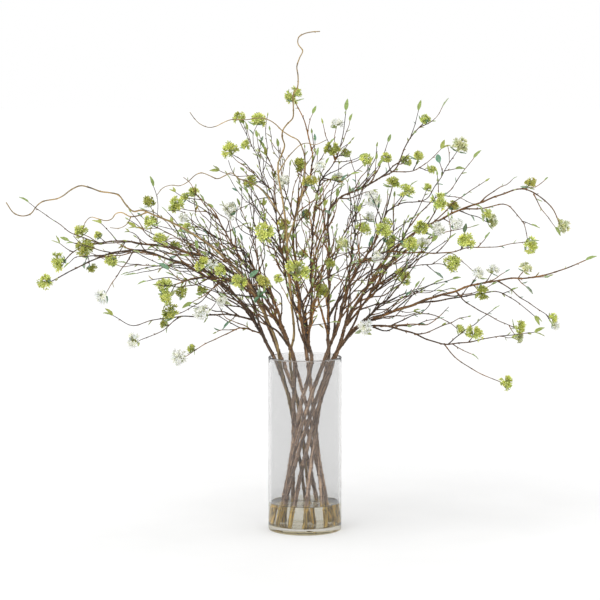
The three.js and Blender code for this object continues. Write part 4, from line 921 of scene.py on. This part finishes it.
def bark_grain_group():
    """Bark on a limb laid straight: long streaks, fine cracks, and small pale dots, all drawn out along the
    limb."""
    inputs = [("Grain", "NodeSocketVector", None), ("Fineness", "NodeSocketFloat", 900.0),
              ("Dot Size", "NodeSocketFloat", 0.2)]
    tree, board, given, out = new_group("bark_grain", inputs, ["Streaks", "Cracks", "Dots", "Height"])

    def drawn_out(share):
        """The grain's place with its length shortened to a share, so that a pattern runs along the limb."""
        factors = {0: given["Grain"], 1: (1.0, 1.0, share)}
        return board.place("ShaderNodeVectorMath", factors, operation="MULTIPLY").outputs[0]

    along = drawn_out(0.1)
    fine = board.place("ShaderNodeTexNoise", {"Vector": along, "Scale": given["Fineness"], "Detail": 5.0,
                                              "Roughness": 0.62})
    streaks = board.between(fine.outputs["Fac"], 0.42, 0.6)
    broad = board.place("ShaderNodeTexNoise", {"Vector": along, "Detail": 3.0, "Roughness": 0.5,
                                               "Scale": board.maths("MULTIPLY", given["Fineness"], 0.45)})
    ridge = board.maths("ABSOLUTE", board.maths("SUBTRACT", broad.outputs["Fac"], 0.5))
    cracks = board.between(ridge, 0.0, 0.08, 1.0, 0.0)
    cells = board.place("ShaderNodeTexVoronoi", {"Vector": drawn_out(0.55), "Randomness": 1.0,
                                                 "Scale": board.maths("MULTIPLY", given["Fineness"], 0.55)})
    dots = board.maths("LESS_THAN", cells.outputs["Distance"], given["Dot Size"])
    height = board.maths("SUBTRACT", board.maths("ADD", streaks, dots), cracks)
    for name, value in (("Streaks", streaks), ("Cracks", cracks), ("Dots", dots), ("Height", height)):
        board.feed(out[name], value)
    return tree


def mottle_group():
    """Soft cloudy variation in the object's own coordinates, between two values."""
    inputs = [("Scale", "NodeSocketFloat", 300.0), ("Low", "NodeSocketFloat", 0.8),
              ("High", "NodeSocketFloat", 1.1)]
    tree, board, given, out = new_group("mottle", inputs, ["Value"])
    place = board.place("ShaderNodeTexCoord").outputs["Object"]
    noise = board.place("ShaderNodeTexNoise", {"Vector": place, "Scale": given["Scale"], "Detail": 3.0})
    board.feed(out["Value"], board.between(noise.outputs["Fac"], 0.32, 0.68, given["Low"], given["High"]))
    return tree


def leaf_veins_group():
    """Veins on a blade: a midrib, and pairs of side veins that run forward as they leave it."""
    inputs = [("Blade", "NodeSocketVector", None), ("Pairs", "NodeSocketFloat", 7.0)]
    tree, board, given, out = new_group("leaf_veins", inputs, ["Veins", "Height"])
    parts = board.place("ShaderNodeSeparateXYZ", {0: given["Blade"]}).outputs
    across = board.maths("ABSOLUTE", parts["Y"])
    forward = board.maths("SUBTRACT", parts["X"], board.maths("MULTIPLY", across, 0.16))
    saw = board.maths("FRACT", board.maths("MULTIPLY", forward, given["Pairs"]))
    away = board.maths("ABSOLUTE", board.maths("SUBTRACT", saw, 0.5))
    thin_lines = board.between(away, 0.0, 0.12, 1.0, 0.0)
    inside_edge = board.between(across, 0.55, 1.0, 1.0, 0.0)
    side_veins = board.maths("MULTIPLY", thin_lines, inside_edge)
    veins = board.maths("MAXIMUM", side_veins, board.between(across, 0.03, 0.14, 1.0, 0.0))
    board.feed(out["Veins"], veins)
    board.feed(out["Height"], board.maths("SUBTRACT", 1.0, veins))
    return tree


def new_material(name):
    """A material with its board and its Principled shader."""
    material = bpy.data.materials.new(name)
    material.use_nodes = True
    board = Board(material.node_tree)
    shader = material.node_tree.nodes["Principled BSDF"]
    return material, board, shader


def bark_material(name, young, warm, old, dots, resin_gold_and_painted_light, fineness, grain_group):
    """Bark from four colours: young twigs, warm ones among them, old stems (age 1) and stems in the resin
    (age 2), golden there partly for their look in the resin and partly as painted light against the glass's
    shade, all with pale streaks, dark cracks and pale dots."""
    material, board, shader = new_material(name)
    bark = board.group(grain_group, Grain=board.note("grain", "Vector"), Fineness=fineness)
    age = board.note("age", "Fac")
    base = board.colour(board.note("warmth", "Fac"), paint(young), paint(warm))
    base = board.colour(age, base, paint(old))
    # Stems in the resin: a golden colour, partly their look there and partly painted light that lifts them
    # from shade
    base = board.colour(board.maths("SUBTRACT", age, 1.0), base, paint(resin_gold_and_painted_light))
    for mark, strength, change in (("Streaks", 0.75, STREAK_CHANGE), ("Cracks", 0.9, CRACK_CHANGE)):
        changed = board.colour(1.0, base, change, "MULTIPLY")
        base = board.colour(board.maths("MULTIPLY", bark[mark], strength), base, changed)
    base = board.colour(board.maths("MULTIPLY", bark["Dots"], 0.45), base, paint(dots))
    board.feed(shader.inputs["Base Color"], base)
    board.feed(shader.inputs["Roughness"], board.between(bark["Streaks"], 0.0, 1.0, 0.62, 0.85))
    board.raise_surface(shader, bark["Height"], 0.5, 0.0004)
    return material


def petal_material(name, heart_and_shade, low, high, mottle):
    """Petals: each floret's own tint, darkened by the heart's colour in its middle: partly the floret's
    greener heart, partly painted shade. Lightly mottled. The darkening fades from low to high on the way out."""
    material, board, shader = new_material(name)
    tint = board.note("tint", "Color")
    out = board.note("out", "Fac")
    # Painted shade: the heart colour darkens each floret towards its middle, on top of its own greener heart
    inner = board.colour(1.0, tint, paint(heart_and_shade), "MULTIPLY")
    base = board.colour(board.between(out, low, high), inner, tint)
    cloud = board.group(mottle, Scale=700.0, Low=0.82, High=1.12)["Value"]
    board.feed(shader.inputs["Base Color"], board.colour(1.0, base, board.grey(cloud), "MULTIPLY"))
    shader.inputs["Roughness"].default_value = 0.6
    board.raise_surface(shader, cloud, 0.35, 0.0003)
    return material


def leaf_material(mottle, veins_group):
    """Leaf blades: each leaf's own tint with paler veins and a paler back, mottled."""
    material, board, shader = new_material("leaf_blade")
    blade = board.note("blade", "Vector")
    veins = board.group(veins_group, Blade=blade)
    tint = board.note("tint", "Color")
    back = board.place("ShaderNodeSeparateXYZ", {0: blade}).outputs["Z"]
    base = board.colour(board.maths("MULTIPLY", back, 0.45), tint, paint("c3cdb4"))
    base = board.colour(board.maths("MULTIPLY", veins["Veins"], 0.45), base, paint("cdd8a6"))
    cloud = board.group(mottle, Scale=420.0, Low=0.78, High=1.15)["Value"]
    board.feed(shader.inputs["Base Color"], board.colour(1.0, base, board.grey(cloud), "MULTIPLY"))
    board.feed(shader.inputs["Roughness"], board.between(veins["Veins"], 0.0, 1.0, 0.5, 0.65))
    board.raise_surface(shader, veins["Height"], 0.4, 0.0003)
    return material


def clear_material(name, colour, ior, roughness, mottle, depth):
    """Clear glass or resin: plain transmission, with the faintest waviness of a blown or poured surface."""
    material, board, shader = new_material(name)
    shader.inputs["Base Color"].default_value = paint(colour)
    shader.inputs["Roughness"].default_value = roughness
    shader.inputs["IOR"].default_value = ior
    shader.inputs["Transmission Weight"].default_value = 1.0
    wave = board.group(mottle, Scale=14.0, Low=0.0, High=1.0)["Value"]
    board.raise_surface(shader, wave, 0.25, depth)
    return material, board, shader


def glass_material(mottle):
    """The vase's glass: clear, with a rim rough enough to catch the light and painted white there as a
    highlight, and a warm darker tint in its foot that paints the golden reflections and dark shade of the
    thick base.
    """
    wall = "e7e7e7"
    material, board, shader = clear_material("vase_glass_clear", wall, 1.46, 0.0, mottle, 0.0004)
    place = board.place("ShaderNodeTexCoord").outputs["Object"]
    height = board.place("ShaderNodeSeparateXYZ", {0: place}).outputs["Z"]
    rim = board.between(height, (VASE_HEIGHT - 2.8) * MM, (VASE_HEIGHT - 1.8) * MM)
    board.feed(shader.inputs["Roughness"], board.maths("MULTIPLY", rim, 0.4))
    # Painted reflection and shade: the foot's glass is tinted warm and darker, for the golden reflections and
    # dark lines of the thick base
    foot = board.between(height, 2 * MM, 13 * MM)
    base = board.colour(foot, paint("c4b894"), paint(wall))
    # Painted highlight: the rim's glass is made white, lighter than the grey wall
    board.feed(shader.inputs["Base Color"], board.colour(rim, base, paint("ffffff")))
    return material


def floor_material(mottle):
    """The floor: pale and matt, hardly mottled."""
    material, board, shader = new_material("studio_floor")
    cloud = board.group(mottle, Scale=3.0, Low=0.9, High=0.93)["Value"]
    board.feed(shader.inputs["Base Color"], board.grey(cloud))
    shader.inputs["Roughness"].default_value = 0.9
    shader.inputs["Specular IOR Level"].default_value = 0.1
    return material


# Colours
HEAD_TINTS = {"lime": paint("dae280"), "olive": paint("b3b85a"), "gold": paint("c6c466"),
              "pale": paint("e4e7c0"), "white": paint("fdfdf6")}
LEAF_TINTS = {"leaf": paint("8fa656"), "fork": paint("a0ac50"), "rosette": paint("5f8a66"),
              "teal": paint("5b8c72"), "dark": paint("48633f"), "bud": paint("98a757"),
              "gold": paint("a18f3e")}
STALK_TINT = paint("b7bd78")
STREAK_CHANGE = (2.2, 2.0, 1.7, 1.0)
CRACK_CHANGE = (0.2, 0.18, 0.18, 1.0)

# The parts of the bunch: the thicket reaches this far to each side of the middle, with the left fan and the
# right side beyond it, and the core is its middle. The vase's mouth is a range of heights.
THICKET_EDGE = 140
CORE = 60
MOUTH = (225, 345)

# Where the fine twigs grow: there is one try in each spacing of a long limb, and a share of the tries is kept
# on the right side and in the left fan. Towards the two heights they get fewer and shorter. None goes lower
# than the lowest heights, or further than the room past the solids' box.
TWIG_SPACING = 15
LONG_LIMB = 110
TWIG_PARTS = 5
RIGHT_SHARE = 0.2
FAN_SHARE = 0.72
FEWEST_AT = 780
SHORTEST_AT = 840
LOWEST_TWIG = 310
LOWEST_TIP_IN_FAN = 440
ROOM = 6

# How a limb's bark wavers: the size and the length of each wave across it and up from it
SIDE_WAVES = ((0.7, 9.5), (0.5, 5.1))
UP_WAVES = ((0.7, 11.3), (0.5, 6.3))

# Small shapes that are set down many times
NODE_BUD = spindle(5, [(0.22, 0.2), (0.55, 0.17)])
TIP_BUD = spindle(8, [(0.1, 0.06), (0.28, 0.115), (0.45, 0.14), (0.7, 0.1), (0.88, 0.04)])
FLOWER_BUD = spindle(6, [(0.2, 0.42), (0.6, 0.5), (0.88, 0.3)])
FLORET, FLORET_OUT = floret()


def tints(colour, many, rng, spread=0.2):
    """A colour for each copy, some lighter and some darker, some a little more yellow."""
    light = rng.uniform(1 - spread, 1 + spread, (many, 1))
    warm = rng.uniform(-0.08, 0.12, (many, 1))
    shift = np.hstack([1 + warm, 1 + warm * 0.3, 1 - warm, np.ones((many, 1))])
    rows = np.array(colour)[None] * shift * np.hstack([light, light, light, np.ones((many, 1))])
    return np.clip(rows, 0, 0.95)


def pedicels(skin, foot, lift, ends, radius, tint):
    """Thin closed stalks on quadratic curves from one foot to each floret, three-sided."""
    many = len(ends)
    share = np.array([0, 0.5, 1])[:, None]
    middle = foot + lift
    line = ((foot * (1 - share) ** 2)[None] + (middle * 2 * share * (1 - share))[None]
            + ends[:, None] * (share ** 2)[None])
    bases = bases_of(unit(ends - foot), np.zeros(many))
    turn = even_turns(3)
    round_way = np.cos(turn)[None, :, None] * bases[:, :1] + np.sin(turn)[None, :, None] * bases[:, 1:2]
    points = line[:, :, None] + round_way[:, None] * radius
    jump = np.arange(many)[:, None, None] * 9
    caps = np.array([[0, 2, 1], [6, 7, 8]])
    out = np.tile(np.repeat([0.5, 0.7, 0.9], 3), many)
    skin.add(points, quads=ring_faces(3, 3)[None] + jump, triangles=caps[None] + jump, out=out,
             tint=np.repeat(tint, 9, axis=0))


def flower_head(skin, limb, rng):
    """A flower head: open florets on a golden-angle spiral over the head's ball, from the top down past its
    middle, gathered into a few looser tufts, with smaller ones and round buds further in, each on a thin
    stalk from the head's foot."""
    is_white = limb["kind"] == "white"
    radius = limb["size"] / 2
    axis = limb["course"]
    across, up = square_to(axis, np.array([1.0, 0, 0]) if abs(axis[0]) < 0.9 else np.array([0, 1.0, 0]))
    petal = np.clip((0.38 if is_white else 0.34) * radius, 3.1, 5.2)
    outer = max(int(round(3.0 * (radius / petal) ** 2)), 9)
    inner = outer // 2
    buds = outer // 3 + 2
    many = outer + inner + buds
    share = np.concatenate([(np.arange(outer) + 0.5) / outer, rng.uniform(0, 1, inner + buds)])
    turn = np.arange(many) * GOLDEN_TURN + rng.uniform(0, ANY_TURN)
    level = 1 - (1 - math.cos(math.radians(115))) * share
    flat = np.sqrt(1 - level ** 2)
    ways = (axis * level[:, None] + across * (flat * np.cos(turn))[:, None]
            + up * (flat * np.sin(turn))[:, None])
    tufts = unit(rng.normal(0, 1, (5, 3)) + axis * 0.5)
    near = np.argmax(ways @ tufts.T, axis=1)
    ways = unit(ways + tufts[near] * 0.42 + rng.normal(0, 0.1, (many, 3)))
    reach = np.concatenate([rng.uniform(0.7, 1.04, outer), rng.uniform(0.4, 0.7, inner),
                            rng.uniform(0.75, 1.08, buds)])
    reach = reach * rng.uniform(0.8, 1.12, 5)[near]
    flatter = unit(rng.normal(0, 1, 3))
    offsets = ways * (reach * radius)[:, None]
    offsets -= flatter * (offsets @ flatter)[:, None] * rng.uniform(0.1, 0.36)
    centres = limb["tip"] + offsets
    normals = unit(ways + rng.normal(0, 0.3, (many, 3)) + axis * 0.2)
    size = petal * np.concatenate([rng.uniform(0.8, 1.18, outer), rng.uniform(0.65, 0.9, inner),
                                   rng.uniform(0.35, 0.55, buds)])
    bases = bases_of(normals, rng.uniform(0, ANY_TURN, many))
    colour = tints(HEAD_TINTS[limb["kind"]], many, rng, 0.07 if is_white else 0.22)
    open_ones = outer + inner
    scales = size[:, None] * np.column_stack([np.ones((many, 2)), rng.uniform(0.7, 1.6, many)])
    copies(skin, FLORET, centres[:open_ones], bases[:open_ones], scales[:open_ones],
           {"tint": colour[:open_ones]}, {"out": FLORET_OUT})
    copies(skin, FLOWER_BUD, centres[open_ones:], bases[open_ones:], size[open_ones:, None] * np.ones(3),
           {"tint": colour[open_ones:] * (0.85, 0.9, 0.8, 1)}, {"out": np.full(len(FLOWER_BUD[0]), 0.8)})
    ends = centres - normals * (size * np.where(np.arange(many) < open_ones, 0.25, -0.1))[:, None]
    foot = limb["tip"] - axis * NECK * radius
    pedicels(skin, foot - axis * 0.8, axis * radius * 0.55, ends, 0.34, tints(STALK_TINT, many, rng))


def bracts(leafing, limb, rng):
    """Two to four small leaves that stand out below and beside a flower head."""
    many = rng.integers(2, 5)
    axis = limb["course"]
    across, up = square_to(axis, np.array([0, 0, 1.0]))
    turn = (np.arange(many) * 2.2 + rng.uniform(0, ANY_TURN))[:, None]
    aside = across * np.cos(turn) + up * np.sin(turn)
    way = unit(aside + axis * rng.uniform(-0.1, 0.7, (many, 1)))
    base = np.tile(limb["points"][-1] - axis * 1.5, (many, 1)) + aside * 0.5
    length = limb["size"] * rng.uniform(0.5, 0.95, many)
    kinds = rng.choice(["leaf", "teal", "fork"], many)
    colour = np.vstack([tints(LEAF_TINTS[kind], 1, rng) for kind in kinds])
    leaves(leafing, base, way, unit(np.cross(way, axis) + 0.01), np.clip(length, 7, 18), colour, rng)


def fine_twigs(limbs, rng):
    """Slim side twigs too fine for the solids: each leaves a long limb at a slant, turns back along it and
    up, and ends in a bud or a small leaf. They crowd the middle, keep close to their limbs at the vase's
    mouth and in the left fan, and are sparse on the right and at the top."""
    low, high = (np.array(corner) / MM for corner in cad_box)
    made = []
    for limb in limbs:
        points = limb["points"]
        steps = np.linalg.norm(np.diff(points, axis=0), axis=1)
        total = steps.sum()
        if total < LONG_LIMB or limb["kind"] == "bare":
            continue
        ends = np.cumsum(steps)
        for along in np.arange(total * 0.06 + rng.uniform(0, TWIG_SPACING), total * 0.86, TWIG_SPACING):
            i = min(int(np.searchsorted(ends, along)), len(steps) - 1)
            share = (along - ends[i] + steps[i]) / steps[i]
            start = points[i] + (points[i + 1] - points[i]) * share
            parent = limb["radii"][i] + (limb["radii"][i + 1] - limb["radii"][i]) * share
            course = unit(points[i + 1] - points[i])
            aside = unit(np.cross(course, rng.normal(0, 1, 3)))
            fan = start[0] < -THICKET_EDGE
            mouth = "inside" in limb and MOUTH[0] < start[2] < MOUTH[1]
            kept = 1
            if start[0] > THICKET_EDGE:
                kept = RIGHT_SHARE
            elif fan:
                kept = FAN_SHARE * np.clip(start[0] / 100 + 4, 0, 1)
            if rng.uniform() > kept * np.clip((FEWEST_AT - start[2]) / 200, 0.2, 1):
                continue
            length = rng.uniform(35, 165) * (1 - 0.4 * along / total) * (1 - 0.4 * abs(start[0]) / high[0])
            length *= np.clip((SHORTEST_AT - start[2]) / 300, 0.4, 1) * (1.25 if fan else 1)
            if mouth:
                length = rng.uniform(110, 230)
            spread = (0.1, 0.32) if mouth else (0.12, 0.55) if fan else (0.3, 0.9)
            way = unit(course + aside * rng.uniform(*spread))
            route = [start]
            for _ in range(TWIG_PARTS):
                route.append(route[-1] + way * length / TWIG_PARTS)
                sway = rng.normal(0, 0.12 if mouth else 0.24, 3)
                way = unit(way + course * 0.14 + sway + np.array([0, 0, 0.05]))
            route = np.array(route)
            in_glass = route[route[:, 2] < VASE_HEIGHT + ROOM]
            widest = np.hypot(in_glass[:, 0], in_glass[:, 1]).max(initial=0)
            lowest_tip = max(start[2] - 30, LOWEST_TIP_IN_FAN) if fan else start[2] - 4
            outside = (route.min(0) < low - ROOM).any() or (route.max(0) > high + ROOM).any()
            outside = outside or widest > VASE_RADIUS - VASE_WALL - 4
            too_low = route[:, 2].min() < (MOUTH[0] if mouth else LOWEST_TWIG) or route[-1, 2] < lowest_tip
            if outside or too_low:
                continue
            root_radius = min(parent * 0.85, 2.3 if mouth else 1.0 + 0.004 * length)
            radii = root_radius + (0.62 - root_radius) * np.linspace(0, 1, TWIG_PARTS + 1) ** TAPER
            kind = rng.choice(["leaf", "bud", "teal", "fork", "bare"], p=[0.34, 0.3, 0.08, 0.1, 0.18])
            size = {"bare": 0, "bud": 9}.get(kind, rng.uniform(9, 17))
            made.append({"points": route, "radii": radii, "parent_radius": parent, "kind": kind, "size": size,
                         "tip": route[-1], "course": unit(route[-1] - route[-2])})
    return made


def node_buds(bark, leafing, line, frames, radii, along, marks, rng, curly):
    """What grows at a limb's nodes: small pointed buds that lean forward, and leaves on young wood."""
    if not len(marks):
        return
    here = np.searchsorted(along, marks).clip(0, len(along) - 1)
    course, across, up = (rows[here] for rows in frames)
    turn = (np.arange(len(marks)) * GOLDEN_TURN + rng.uniform(0, ANY_TURN))[:, None]
    aside = across * np.cos(turn) + up * np.sin(turn)
    wood = radii[here]
    young = (wood < 2.1) & (line[here][:, 2] > VASE_HEIGHT + 12)
    golden = abs(line[0, 0]) < CORE or line[0, 0] < -THICKET_EDGE
    in_leaf = rng.uniform(0, 1, len(marks)) < (0.5 if golden else 0.32)
    leafy = young & (wood < 1.5) & in_leaf & (not curly)
    budding = young & ~leafy
    if budding.any():
        normal = unit(course * 0.85 + aside * 0.6)[budding]
        size = rng.uniform(2.6, 4.2, len(marks))[budding] * (0.6 if curly else 1)
        start = line[here][budding] + aside[budding] * (wood[budding] * 0.75)[:, None]
        tip_tone = rng.uniform(0, 0.35, budding.sum())
        copies(bark, NODE_BUD, start, bases_of(normal, rng.uniform(0, ANY_TURN, len(size))),
               size[:, None] * np.ones(3), {"age": tip_tone, "warmth": 1 - tip_tone},
               {"grain": NODE_BUD[0] * MM * 3})
    if leafy.any():
        way = unit(course * 0.8 + aside * 0.75)[leafy]
        side = unit(np.cross(way, aside[leafy]))
        length = rng.uniform(5, 12, leafy.sum())
        kinds = rng.choice(["gold", "fork", "leaf"] if golden else ["leaf", "teal", "fork"], leafy.sum())
        colour = np.vstack([tints(LEAF_TINTS[kind], 1, rng) for kind in kinds])
        base = line[here][leafy] + aside[leafy] * (wood[leafy] * 0.8)[:, None]
        leaves(leafing, base, way, side, length, colour, rng)


def waver(along, ease, waves, turns):
    """The sum of sine waves along a limb, each with its size, its length and the turn that it starts at."""
    return sum(size * ease * np.sin(along / wave + turn) for (size, wave), turn in zip(waves, turns))


def grow_bark(bark, leafing, limb, rng, curly):
    """One limb's bark: a tube on the limb's smooth line. It wavers by two waves each way that die out at the
    ends, swells at its nodes by a bell curve, and flares at its root."""
    stem = "inside" in limb
    fine = limb["radii"][0] < 1.5

    def knots(total):
        """Where a limb of this length has its nodes."""
        spacing = 27 if curly else 19
        marks = np.arange(9 if not stem else 30, total - 7, spacing, dtype=float)
        return marks + rng.uniform(-4, 4, len(marks))

    line, radii, along, marks = limb_line(limb, 3.5 if curly else 6.5, knots)
    if not curly:
        course, across, up = frames_of(line)
        total = along[-1]
        ease = np.minimum(1, 4 * (along / total) * (1 - along / total))
        sway = rng.uniform(0, ANY_TURN, 4)
        drift = waver(along, ease, SIDE_WAVES, sway[:2])
        rise = waver(along, ease, UP_WAVES, sway[2:])
        in_open = np.clip((line[:, 2] - VASE_HEIGHT) / 40, 0.25, 1)
        line = line + (across * (drift * in_open)[:, None] + up * (rise * in_open)[:, None])
    swell = 1 + 0.3 * np.exp(-((along[:, None] - marks) / 1.15) ** 2).sum(1)
    flare = 1 if stem else 1 + 0.5 * np.exp(-np.maximum(along - limb["parent_radius"], 0) / 2.2)
    ripple = 1 + 0.05 * np.sin(along / 3.7 + rng.uniform(0, ANY_TURN))
    wide = radii * swell * flare * ripple * (0.96 if stem else 1.0)
    frames = frames_of(line)
    height = line[:, 2]
    shade = 1 - 0.9 * np.clip((height - VASE_HEIGHT + 60) / 90, 0, 1)
    # The resin zone: partly the stems' golden look there, partly painted light that lifts them from the
    # glass's shade
    resin_gold_and_painted_light = np.clip((RESIN_TOP + 2 - height) / 3, 0, 1)
    age = np.maximum(np.clip((radii - 1.7) / 1.6, 0, 1) * shade * rng.uniform(0.35, 1), resin_gold_and_painted_light) + resin_gold_and_painted_light
    most, power = (1, 0.6) if abs(line[-1, 0]) < CORE else (0.7, 1.8)
    warmth = rng.uniform(0, 1) ** power * most * np.clip(1.6 - radii / 3, 0.3, 1)
    sides = 11 if stem else 5 if fine else 7
    tube(bark, line, frames, wide, sides, rng.uniform(0, 5000), age=age, warmth=warmth)
    node_buds(bark, leafing, line, frames, wide, along, marks, rng, curly)


def dress(branch, limbs, index, looks):
    """One branch as pieces in place of its node: bark, leaves, and its green and its white flower heads."""
    curly = branch["name"].startswith("willow")
    bark, leafing, green, white = Skin(), Skin(), Skin(), Skin()
    for i, limb in enumerate(limbs + fine_twigs(limbs, np.random.default_rng(9000 + index))):
        rng = np.random.default_rng(index * 1000 + i)
        grow_bark(bark, leafing, limb, rng, curly)
        if limb["kind"] in HEADS:
            flower_head(white if limb["kind"] == "white" else green, limb, rng)
            bracts(leafing, limb, rng)
        rows = leaf_rows(limb, index * 100 + i)
        if rows:
            base, way, side, length = (np.array(column) for column in zip(*rows))
            colour = tints(LEAF_TINTS[limb["kind"]], len(rows), rng, 0.15)
            leaves(leafing, base, way, side, length, colour, rng)
        if limb["kind"] == "bud":
            copies(leafing, TIP_BUD, limb["tip"][None], bases_of(limb["course"][None], np.zeros(1)),
                   np.full((1, 3), limb["size"]), {"tint": tints(LEAF_TINTS["bud"], 1, rng)},
                   {"blade": np.tile([0.5, 0.5, 0.0], (len(TIP_BUD[0]), 1))})
    parts = [("bark", bark, looks["willow_bark" if curly else "spirea_bark"]),
             ("leaves", leafing, looks["leaf"]),
             ("green_florets", green, looks["green"]),
             ("white_florets", white, looks["white"])]
    for part, skin, material in parts:
        if skin.count:
            piece = skin.make(f"{branch['name']}_{part}", material)
            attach(piece, "root")
            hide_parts(branch["name"])


def make_vase(material):
    """The cylinder: a rounded rim, a thick base with a round inner corner, and a hollow underside."""
    inner = VASE_RADIUS - VASE_WALL
    profile = [(0, 1.6), (20, 1.5), (38, 1.1), (48, 0.6), (VASE_RADIUS - 7, 0), (VASE_RADIUS - 4, 0)]
    profile += corner((VASE_RADIUS - 2.5, 2.5), 2.5, 270, 360, 7)
    profile += [(VASE_RADIUS, height) for height in np.linspace(12, VASE_HEIGHT - 12, 12)]
    profile += corner((VASE_RADIUS - 2, VASE_HEIGHT - 2), 2, 0, 180, 13)
    profile += [(inner, height) for height in np.linspace(VASE_HEIGHT - 12, 22, 12)]
    profile += corner((inner - 4, VASE_FLOOR + 4), 4, 0, -90, 8)
    profile += [(30, VASE_FLOOR), (0, VASE_FLOOR)]
    return turned("vase_glass", profile, material)


def make_resin(material):
    """The clear set resin: a disc that fills the vase's foot, its top drawn up a little at the wall."""
    outer = VASE_RADIUS - VASE_WALL + 0.2
    profile = [(0, VASE_FLOOR - 0.2), (30, VASE_FLOOR - 0.2)]
    profile += corner((outer - 4, VASE_FLOOR + 3.8), 4, 270, 360, 8)
    profile += [(outer, 30), (outer, RESIN_TOP + 1.4), (outer - 0.7, RESIN_TOP + 0.75),
                (outer - 2, RESIN_TOP + 0.2), (outer - 4, RESIN_TOP), (30, RESIN_TOP), (0, RESIN_TOP)]
    return turned("set_resin", profile, material)


def set_studio(floor_look):
    """A wide pale floor, a white surround, one soft high light, and the camera straight in front."""
    sides, reach, drop = 64, 40000, 0.05
    turn = even_turns(sides)
    skin = Skin()
    rim = np.column_stack([np.cos(turn), np.sin(turn), np.zeros(sides)]) * reach
    triangles = fan_faces(sides, np.arange(sides), True)
    skin.add(np.vstack([rim, [[0, 0, 0]]]) - [0, 0, drop], triangles=triangles)
    skin.make("studio_floor", floor_look)
    world = bpy.data.worlds.new("studio")
    world.use_nodes = True
    world.node_tree.nodes.clear()
    board = Board(world.node_tree)
    lit = board.place("ShaderNodeBackground", {"Color": (1, 1, 1, 1), "Strength": 0.82})
    seen = board.place("ShaderNodeBackground", {"Color": (1, 1, 1, 1), "Strength": 1.0})
    path = board.place("ShaderNodeLightPath").outputs["Is Camera Ray"]
    both = board.place("ShaderNodeMixShader", {0: path, 1: lit.outputs[0], 2: seen.outputs[0]})
    board.place("ShaderNodeOutputWorld", {"Surface": both.outputs[0]})
    bpy.context.scene.world = world
    sun = bpy.data.lights.new("soft_key", "SUN")
    sun.energy = 1.3
    sun.angle = math.radians(50)
    lamp = bpy.data.objects.new("soft_key", sun)
    lamp.rotation_euler = Vector((0.45, 0.6, -1.1)).to_track_quat("-Z", "Y").to_euler()
    bpy.context.scene.collection.objects.link(lamp)
    lens = bpy.data.cameras.new("view")
    lens.sensor_width = 36
    lens.lens = 139.9
    lens.clip_end = 200
    camera = bpy.data.objects.new("view", lens)
    camera.location = EYE * MM
    look = Vector((EYE[0] * MM, 0, 0.4)) - camera.location
    camera.rotation_euler = look.to_track_quat("-Z", "Y").to_euler()
    bpy.context.scene.collection.objects.link(camera)
    bpy.context.scene.camera = camera
    bpy.context.scene.view_settings.view_transform = "Standard"


mottle = mottle_group()
grain = bark_grain_group()
looks = {
    "spirea_bark": bark_material("spirea_bark", young="38291d", warm="86602f", old="b39c8a", dots="c4ae98",
                                 resin_gold_and_painted_light="c8ad62", fineness=460.0, grain_group=grain),
    "willow_bark": bark_material("willow_bark", young="8d7a55", warm="a08a5c", old="857259", dots="b3a27c",
                                 resin_gold_and_painted_light="c2a458", fineness=460.0, grain_group=grain),
    "leaf": leaf_material(mottle, leaf_veins_group()),
    # The second colour of each petal look is its heart: partly the florets' own heart colour, partly painted
    # shade
    "green": petal_material("green_petals", "c4cba0", 0.1, 0.8, mottle),
    "white": petal_material("white_petals", "e8eed0", 0.05, 0.45, mottle),
}
for index, (branch, limbs) in enumerate(zip(PLAN, grow_all(PLAN))):
    dress(branch, limbs, index, looks)

vase = make_vase(glass_material(mottle))
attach(vase, "root")
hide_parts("vase")
resin = make_resin(clear_material("set_resin_clear", "fefaea", 1.36, 0.0, mottle, 0.0002)[0])
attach(resin, "root")
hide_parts("resin_water")
# In the render the glass and the resin cast no shadow, so that light reaches the stems inside them
vase.visible_shadow = False
resin.visible_shadow = False
set_studio(floor_material(mottle))
